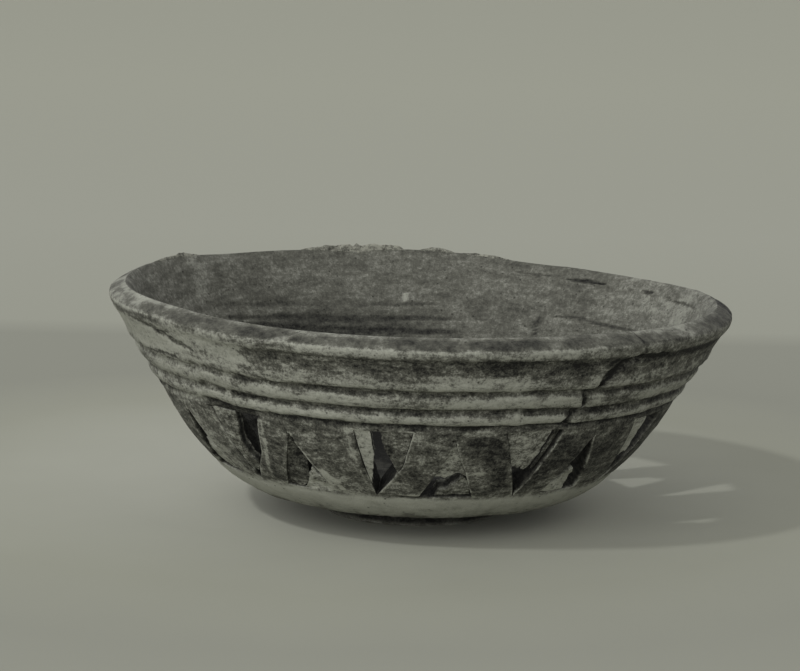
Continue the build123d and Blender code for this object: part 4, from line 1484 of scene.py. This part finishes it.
@dataclass
class Crusts:
    """Rough lime crusts that ride over the lip."""

    bowl: Bowl
    first_seed: int = 501
    thickness: float = 1.5
    spread: float = 3.0
    heel: float = 1.5
    sections_per_degree: float = 2.2
    points_over: int = 9
    # Line that the noises along a crust are read on, and the unevenness of its height and its two toes
    noise_line: tuple = (76.0, 57.0)
    height_ragged: Unevenness = Unevenness(0.45, 2.6, 0)
    toe_share: float = 0.55
    toe_ragged: Unevenness = Unevenness(0.35, 4.0, 3)
    heel_share: float = 0.45
    heel_ragged: Unevenness = Unevenness(0.5, 2.5, 5)
    end_share: float = 0.06
    thinnest: float = 0.02
    narrowest: float = 0.1
    # Section: share of it before the crest, fall of the lip, and how full the half sine is
    crest_share: float = 0.55
    fall: float = 0.55
    fall_power: float = 1.5
    fullness: float = 0.6
    toe_lift: float = 0.02
    bedded: float = 0.12
    crumble: Unevenness = Unevenness(0.34, 1.3, 11)
    wear: Unevenness = Unevenness(0.2, 2.5, 21)
    worn: float = 0.56
    runs: tuple = (
        Crust("crust_left", -127.0, 17.0, (0.05, 0.45, 0.62, 0.40, 0.25, 0.05)),
        Crust("crust_back_left", -176.5, 23.5, (0.55, 1.0, 1.0, 0.92, 0.95, 0.85, 0.5, 0.06)),
        Crust("crust_back_middle", 173.0, 7.5, (0.05, 0.5, 0.75, 0.4, 0.05)),
        Crust("crust_back_right", 160.5, 11.0, (0.05, 0.30, 0.42, 0.30, 0.05)),
    )

    def build(self, materials: dict) -> None:
        """Make every crust in the crusts' material."""
        for seed, run in enumerate(self.runs, self.first_seed):
            make_piece(run.node, self.shell(run, seed), materials["crust"], [run.node])

    def shell(self, run: Crust, seed: int) -> Shell:
        """One crust as a tube along the lip.

        Each section runs over the lip from its outer to its inner toe, lifted off the lip by the crust's height
        times a half sine, and back just under the lip's surface.

        Args:
            run: the crust's place and heights.
            seed: which random field roughens it.

        Returns:
            The closed shell.
        """
        steps, half = int(run.sweep * self.sections_per_degree), self.points_over
        along = np.linspace(0, 1, steps)[:, None]
        azimuth = run.start + run.sweep * along
        wave = around(self.noise_line[0], azimuth, self.noise_line[1])
        rise = self.thickness * np.interp(along, np.linspace(0, 1, len(run.heights)), run.heights)
        rise = rise * (1 + self.height_ragged.at(wave, seed)) * smooth_step(0, self.end_share, along) + self.thinnest
        rise = rise * smooth_step(1, 1 - self.end_share, along) + self.thinnest
        size = np.sqrt(rise / self.thickness + self.narrowest)
        toe = self.spread * (self.toe_share + self.toe_ragged.at(wave, seed)) * size
        heel = self.heel * (self.heel_share + self.heel_ragged.at(wave, seed)) * size
        q = np.linspace(0, 1, half)[None, :]
        knees = [0, self.crest_share, 1]
        crest_r, crest_z = self.bowl.crest
        lip_r = crest_r + np.interp(q, knees, [1, 0, 0]) * toe - np.interp(q, knees, [0, 0, 1]) * heel
        outward, inward = np.maximum(lip_r - crest_r, 0), np.maximum(crest_r - lip_r, 0)
        drop = outward * self.fall + inward**self.fall_power * self.fall
        lift = rise * np.sin(np.pi * np.clip(q, self.toe_lift, 1 - self.toe_lift)) ** self.fullness
        top = around(lip_r, azimuth, crest_z - drop + lift)
        under = around(lip_r, azimuth, crest_z - drop - self.bedded)
        rings = np.concatenate([top, under[:, ::-1]], axis=1)
        strength = np.concatenate([lift, np.zeros_like(lift)], axis=1)
        rings = rings + self.crumble.shaking(rings, seed) * strength[..., None]
        points = rings.reshape(-1, 3)
        worn = self.worn + self.wear.at(points, seed)
        marks = {"worn": worn, "broken": np.zeros(len(points)), "mottle": np.ones(len(points))}
        return Shell(points, rolled_tube(rings), marks)


@dataclass
class FootRing:
    """The low ring luted under the bowl, worn level by the table."""

    bowl: Bowl
    width: float = 4.2
    taper: float = 0.5
    wear: float = 0.6
    # Section: heights of its flanks and chamfers, and how far flanks and face lie in from outside and inside
    flank_height: float = 2.4
    chamfer_height: float = 0.5
    flank_in: tuple = (0.15, 0.1)
    face_in: tuple = (1.1, 1.2)
    section_points: int = 36
    sections: int = 240
    luted: float = 0.3
    rough: tuple = (Unevenness(0.16, 6, 83), Unevenness(0.08, 2, 87))
    # Dark flank: painted shade on the ring; its pale face below: wear from the table and a painted highlight on the
    # lower edge
    worn: float = 0.06
    face_wear_and_highlight: float = 0.34
    face_heights: tuple = (1.4, 0.4)
    worn_noise: Unevenness = Unevenness(0.08, 5, 89)
    mottle: float = 0.4

    def build(self, materials: dict) -> None:
        """Make the ring as a profile carried round the axis and closed on itself.

        Args:
            materials: the finishes' materials by name.
        """
        outer, top = self.bowl.foot_radius, self.bowl.foot_height
        inner = outer - self.width
        outside = [(outer, top), (outer - self.flank_in[0], self.flank_height),
                   (outer - self.taper, self.chamfer_height), (outer - self.face_in[0], -self.wear)]
        inside = [(inner + self.face_in[1], -self.wear), (inner + self.taper, self.chamfer_height),
                  (inner + self.flank_in[1], self.flank_height), (inner, top)]
        loop = np.array(outside + inside + outside[:1])
        lengths = np.concatenate([[0], np.cumsum(np.linalg.norm(np.diff(loop, axis=0), axis=1))])
        spots = np.linspace(0, lengths[-1], self.section_points + 1)[:-1]
        section = np.stack([np.interp(spots, lengths, loop[:, k]) for k in (0, 1)], -1)
        azimuth = np.linspace(0, 360, self.sections + 1)[:-1][:, None]
        radius, height = section[None, :, 0], section[None, :, 1]
        rings = around(radius, azimuth, height)
        side = np.sign(radius - (outer - self.width / 2)) * (height < top - self.luted)
        rings = rings + (summed(self.rough, rings) * side)[..., None] * level_direction(rings)
        ids = np.arange(rings[..., 0].size).reshape(rings.shape[:2])
        ahead, up = np.roll(ids, -1, axis=0), np.roll(ids, -1, axis=1)
        quads = np.stack([ids, up, np.roll(up, -1, axis=0), ahead], -1).reshape(-1, 4)
        points = rings.reshape(-1, 3)
        # Painted shade on the ring, paler towards the face by wear and a painted highlight
        worn = self.worn + self.face_wear_and_highlight * smooth_step(*self.face_heights, points[:, 2])
        worn = worn + self.worn_noise.at(points)
        marks = {"worn": worn, "broken": np.zeros(len(points)), "mottle": np.full(len(points), self.mottle)}
        make_piece("foot_ring", Shell(points, quads, marks), materials["foot"], ["foot_ring"])


# Finishes


def linear(hex_colour: str) -> tuple[float, float, float, float]:
    """Linear colour from an sRGB hex value such as 7A7B70: the sRGB transfer curve, channel by channel.

    Args:
        hex_colour: two hex digits for each of red, green and blue.

    Returns:
        Red, green, blue and a full alpha.
    """
    channels = [int(hex_colour[k : k + 2], 16) / 255 for k in (0, 2, 4)]
    red, green, blue = (c / 12.92 if c <= 0.04045 else ((c + 0.055) / 1.055) ** 2.4 for c in channels)
    return red, green, blue, 1.0


def fill_ramp(ramp: bpy.types.ColorRamp, stops: tuple) -> None:
    """Fill a colour ramp.

    Args:
        ramp: the ramp.
        stops: pairs of position and sRGB hex colour.
    """
    while len(ramp.elements) < len(stops):
        ramp.elements.new(0.5)
    for element, (position, colour) in zip(ramp.elements, stops):
        element.position = position
        element.color = linear(colour)


def add_node(
    tree: bpy.types.NodeTree, kind: str, settings: dict | None = None, links: dict | None = None
) -> bpy.types.Node:
    """Add one node with its settings and links.

    Args:
        tree: the material's node tree.
        kind: Blender's name of the node type.
        settings: attributes of the node, values of its inputs where the key is an input's name or number, and
            for "stops" what fills its colour ramp.
        links: for an input's name or number, the output socket that feeds it.

    Returns:
        The node.
    """
    node = tree.nodes.new(kind)
    for key, value in (settings or {}).items():
        if key == "stops":
            fill_ramp(node.color_ramp, value)
        elif isinstance(key, str) and hasattr(node, key):
            setattr(node, key, value)
        else:
            node.inputs[key].default_value = value
    for key, socket in (links or {}).items():
        tree.links.new(socket, node.inputs[key])
    return node


def empty_material(name: str) -> bpy.types.Material:
    """Make a material without any nodes.

    Args:
        name: the real material and its process.

    Returns:
        The material.
    """
    material = bpy.data.materials.new(name)
    material.use_nodes = True
    material.node_tree.nodes.clear()
    return material


@dataclass(frozen=True)
class Grain:
    """One scale of a finish's noise: size of its coarsest lumps in millimetres, detail, roughness and share."""

    size: float
    detail: float
    roughness: float
    share: float


@dataclass(frozen=True)
class ClayFinish:
    """Fired clay under a thin dark slip: the slip stays in the hollows and is worn to pale clay where proud."""

    name: str
    stops: tuple
    roughness: float
    bump: float = 0.6
    bump_height: float = 0.35
    specular: float = 0.18
    blotch: Grain = Grain(8.0, 4, 0.6, 0.7)
    streak: Grain = Grain(5.0, 5, 0.65, 1.0)
    streak_squeeze: tuple = (1, 1, 4)
    speckle: Grain = Grain(1.1, 4, 0.7, 1.3)
    grit: Grain = Grain(0.45, 3, 0.7, 0.9)
    grit_bump: float = 0.6
    fresh_stops: tuple = ((0.35, "111110"), (0.5, "1D1D1B"), (0.68, "35352F"))
    fresh_share: float = 0.95
    # Pits: spacing in millimetres, distances where one ends, depth of its colour and of its bump
    pit_spacing: float = 2.6
    pit_edge: tuple = (0.06, 0.13)
    pit_share: float = 0.75
    pit_colour: str = "24241F"
    pit_bump: float = 0.8

    def make(self) -> bpy.types.Material:
        """Build the material's nodes.

        Returns:
            The material: colour by wear plus noise at four scales, broken faces, small pits, and a gritty bump.
        """
        material = empty_material(self.name)
        tree = material.node_tree
        place = add_node(tree, "ShaderNodeTexCoord").outputs["Object"]
        worn, broken, mottle = (
            add_node(tree, "ShaderNodeAttribute", {"attribute_name": mark}).outputs["Fac"]
            for mark in ("worn", "broken", "mottle")
        )
        squeezed = add_node(tree, "ShaderNodeMapping", {"Scale": self.streak_squeeze}, {"Vector": place}).outputs[0]
        grains = ((self.blotch, place), (self.streak, squeezed), (self.speckle, place), (self.grit, place))
        waves = add_node(tree, "ShaderNodeValue").outputs[0]
        waves.default_value = -0.5 * sum(grain.share for grain, _ in grains)
        noises = []
        for grain, vector in grains:
            settings = {"Scale": 1 / (grain.size * MM), "Detail": grain.detail, "Roughness": grain.roughness}
            noises.append(add_node(tree, "ShaderNodeTexNoise", settings, {"Vector": vector}).outputs["Fac"])
            waves = add_node(
                tree, "ShaderNodeMath", {"operation": "MULTIPLY_ADD", 1: grain.share}, {0: noises[-1], 2: waves}
            ).outputs[0]
        speckle, grit = noises[2:]
        total = add_node(
            tree, "ShaderNodeMath", {"operation": "MULTIPLY_ADD"}, {0: waves, 1: mottle, 2: worn}
        ).outputs[0]
        skin = add_node(tree, "ShaderNodeValToRGB", {"stops": self.stops}, {0: total}).outputs["Color"]
        fresh = add_node(tree, "ShaderNodeValToRGB", {"stops": self.fresh_stops}, {0: speckle}).outputs["Color"]
        seen = add_node(
            tree, "ShaderNodeMath", {"operation": "MULTIPLY", 1: self.fresh_share}, {0: broken}
        ).outputs[0]
        mixed = add_node(tree, "ShaderNodeMix", {"data_type": "RGBA"}, {0: seen, 6: skin, 7: fresh}).outputs[2]
        pits = add_node(
            tree, "ShaderNodeTexVoronoi", {"Scale": 1 / (self.pit_spacing * MM), "Randomness": 1.0}, {"Vector": place}
        ).outputs["Distance"]
        start, end = self.pit_edge
        pit = add_node(
            tree, "ShaderNodeMapRange", {1: start, 2: end, 3: self.pit_share, 4: 0.0}, {0: pits}
        ).outputs[0]
        dotted = add_node(
            tree, "ShaderNodeMix", {"data_type": "RGBA", 7: linear(self.pit_colour)}, {0: pit, 6: mixed}
        ).outputs[2]
        height = add_node(
            tree, "ShaderNodeMath", {"operation": "MULTIPLY_ADD", 1: self.grit_bump}, {0: grit, 2: speckle}
        ).outputs[0]
        height = add_node(
            tree, "ShaderNodeMath", {"operation": "MULTIPLY_ADD", 1: -self.pit_bump}, {0: pit, 2: height}
        ).outputs[0]
        bump = add_node(
            tree, "ShaderNodeBump", {"Strength": self.bump, "Distance": self.bump_height * MM}, {"Height": height}
        ).outputs[0]
        shader = add_node(
            tree, "ShaderNodeBsdfPrincipled", {"Roughness": self.roughness, "Specular IOR Level": self.specular},
            {"Base Color": dotted, "Normal": bump},
        )
        add_node(tree, "ShaderNodeOutputMaterial", links={"Surface": shader.outputs[0]})
        return material


# Slip that has rubbed off the proud ribs: dark grey slip, thin slip, then pale bare clay; the darkest stop also
# paints the shade deep inside
SLIP_STOPS = (
    (0.0, "181816"), (0.07, "2C2C28"), (0.20, "40403A"), (0.34, "56564E"), (0.43, "686860"), (0.53, "83847A"),
    (0.70, "939489"), (1.0, "9E9F94"),
)
CRUST_STOPS = ((0.1, "30302B"), (0.3, "4C4C45"), (0.5, "68685F"), (0.75, "8E8E82"))
FINISHES = {
    "wall": ClayFinish("worn_slip_on_thrown_clay", SLIP_STOPS, 0.75),
    "plate": ClayFinish("broken_clay_plate", SLIP_STOPS, 0.85),
    "crust": ClayFinish("lime_crust_on_clay", CRUST_STOPS, 0.95, bump=0.9),
    "foot": ClayFinish("bare_turned_clay", SLIP_STOPS, 0.85, bump=0.4),
}


# Table, light and camera


@dataclass(frozen=True)
class Studio:
    """A pale table with a plain ground behind it, a soft sun from the front left, a front fill and the camera."""

    image_width: int = 800
    image_height: int = 671
    target_height: float = 28.0
    distance: float = 750.0
    elevation: float = 10.73
    roll: float = 1.1
    pixels_per_mm: float = 3.856
    target_pixel: tuple = (414.1, 401.0)
    sensor_width: float = 36.0
    clip: tuple = (0.05, 50)
    sun_azimuth: float = -46.0
    sun_elevation: float = 46.0
    sun_energy: float = 0.8
    sun_degrees: float = 4.0
    fill_from: tuple = (-22.0, 23.0)
    fill_distance: float = 1.35
    fill_size: tuple = (1.7, 0.9)
    fill_energy: float = 10.0
    world_grey: float = 0.62
    # Table in metres: half its side, where its far part begins, and how far that grows paler
    table_half: float = 6.0
    far_from: tuple = (0.262, 0.292)
    far_reach: tuple = (0.28, 3.0)
    # Painted pool of light round the bowl: where its middle lies, how much cloud roughens it, and its colours out
    # from the middle
    painted_pool_shift: tuple = (0.015, -0.035, 0)
    painted_pool_cloud: float = 0.03
    painted_pool_stops: tuple = ((0.05, "B6B7AB"), (0.09, "A5A69A"), (0.14, "959689"), (0.19, "8C8D82"), (0.32, "8E8F84"))
    far_stops: tuple = ((0.0, "9A9B8F"), (0.1, "A0A195"), (0.4, "A4A597"), (1.0, "A2A395"))

    def build(self) -> None:
        """Make the table, the lamps, the world and the camera."""
        self.table()
        self.light()
        self.camera()

    def table(self) -> None:
        """A wide flat table with a painted pool of light near the bowl, whose colour turns a little paler past its
        far edge.
        """
        half = self.table_half
        mesh = bpy.data.meshes.new("table")
        mesh.from_pydata([(-half, -half, 0), (half, -half, 0), (half, half, 0), (-half, half, 0)], [], [(0, 1, 2, 3)])
        table = add_object("table", mesh)
        material = empty_material("matt_card_table")
        tree = material.node_tree
        place = add_node(tree, "ShaderNodeTexCoord").outputs["Object"]
        depth = add_node(tree, "ShaderNodeSeparateXYZ", links={0: place}).outputs["Y"]
        far, back = (
            add_node(tree, "ShaderNodeMapRange", {1: start, 2: end, 3: 0.0, 4: 1.0}, {0: depth}).outputs[0]
            for start, end in (self.far_from, self.far_reach)
        )
        cloud = add_node(
            tree, "ShaderNodeTexNoise", {"Scale": 12.0, "Detail": 3.0, "Roughness": 0.6}, {"Vector": place}
        ).outputs["Fac"]
        # Painted pool of light: paler close to the bowl, fading with distance
        moved = add_node(tree, "ShaderNodeMapping", {"Location": self.painted_pool_shift}, {"Vector": place}).outputs[0]
        span = add_node(tree, "ShaderNodeVectorMath", {"operation": "LENGTH"}, {0: moved}).outputs["Value"]
        span = add_node(
            tree, "ShaderNodeMath", {"operation": "MULTIPLY_ADD", 1: self.painted_pool_cloud}, {0: cloud, 2: span}
        ).outputs[0]
        painted_pool_colour, far_colour = (
            add_node(tree, "ShaderNodeValToRGB", {"stops": stops}, {0: value}).outputs["Color"]
            for stops, value in ((self.painted_pool_stops, span), (self.far_stops, back))
        )
        colour = add_node(
            tree, "ShaderNodeMix", {"data_type": "RGBA"}, {0: far, 6: painted_pool_colour, 7: far_colour}
        ).outputs[2]
        shader = add_node(
            tree, "ShaderNodeBsdfPrincipled", {"Roughness": 0.95, "Specular IOR Level": 0.2}, {"Base Color": colour}
        )
        add_node(tree, "ShaderNodeOutputMaterial", links={"Surface": shader.outputs[0]})
        mesh.materials.append(material)

    def light(self) -> None:
        """A soft sun, a wide fill from the camera's side and an even world."""
        sun = bpy.data.lights.new("sun", "SUN")
        sun.energy = self.sun_energy
        sun.angle = math.radians(self.sun_degrees)
        toward = self.direction(self.sun_azimuth, self.sun_elevation)
        add_object("sun", sun).rotation_euler = toward.to_track_quat("Z", "Y").to_euler()
        fill = bpy.data.lights.new("fill", "AREA")
        fill.shape = "RECTANGLE"
        fill.size, fill.size_y = self.fill_size
        fill.energy = self.fill_energy
        lamp = add_object("fill", fill)
        toward = self.direction(*self.fill_from)
        lamp.location = toward * self.fill_distance
        lamp.rotation_euler = toward.to_track_quat("Z", "Y").to_euler()
        world = bpy.data.worlds.new("studio")
        world.use_nodes = True
        world.node_tree.nodes["Background"].inputs["Color"].default_value = (*[self.world_grey] * 3, 1)
        bpy.context.scene.world = world

    @staticmethod
    def direction(azimuth: float, elevation: float) -> Vector:
        """Unit vector towards an azimuth and elevation in degrees."""
        a, e = math.radians(azimuth), math.radians(elevation)
        return Vector((math.sin(a) * math.cos(e), -math.cos(a) * math.cos(e), math.sin(e)))

    def camera(self) -> None:
        """A long lens at the photograph's height and roll, shifted so that the bowl lies where it does there."""
        data = bpy.data.cameras.new("camera")
        focal_pixels = self.pixels_per_mm * self.distance
        data.sensor_width = self.sensor_width
        data.lens = focal_pixels / self.image_width * self.sensor_width
        data.shift_x = 0.5 - self.target_pixel[0] / self.image_width
        data.shift_y = (self.target_pixel[1] - self.image_height / 2) / self.image_width
        data.clip_start, data.clip_end = self.clip
        camera = add_object("camera", data)
        target = Vector(STANDING.place(np.array([0.0, 0.0, 0.0])))
        target.z = self.target_height * MM
        back = self.direction(0, self.elevation)
        camera.location = target + back * self.distance * MM
        turn = (-back).to_track_quat("-Z", "Y").to_matrix() @ Matrix.Rotation(math.radians(self.roll), 3, "Z")
        camera.rotation_euler = turn.to_euler()
        bpy.context.scene.camera = camera


def main() -> None:
    """Build the bowl's pieces in order, then the studio round them."""
    logging.basicConfig(level=logging.INFO, format="%(name)s %(message)s")
    materials = {name: finish.make() for name, finish in FINISHES.items()}
    bowl = Bowl()
    for assembly in (Wall(bowl), Plates(bowl), Crusts(bowl), FootRing(bowl)):
        assembly.build(materials)
    Studio().build()
    bpy.context.scene.view_settings.view_transform = "Standard"


if __name__ == "__main__":
    main()
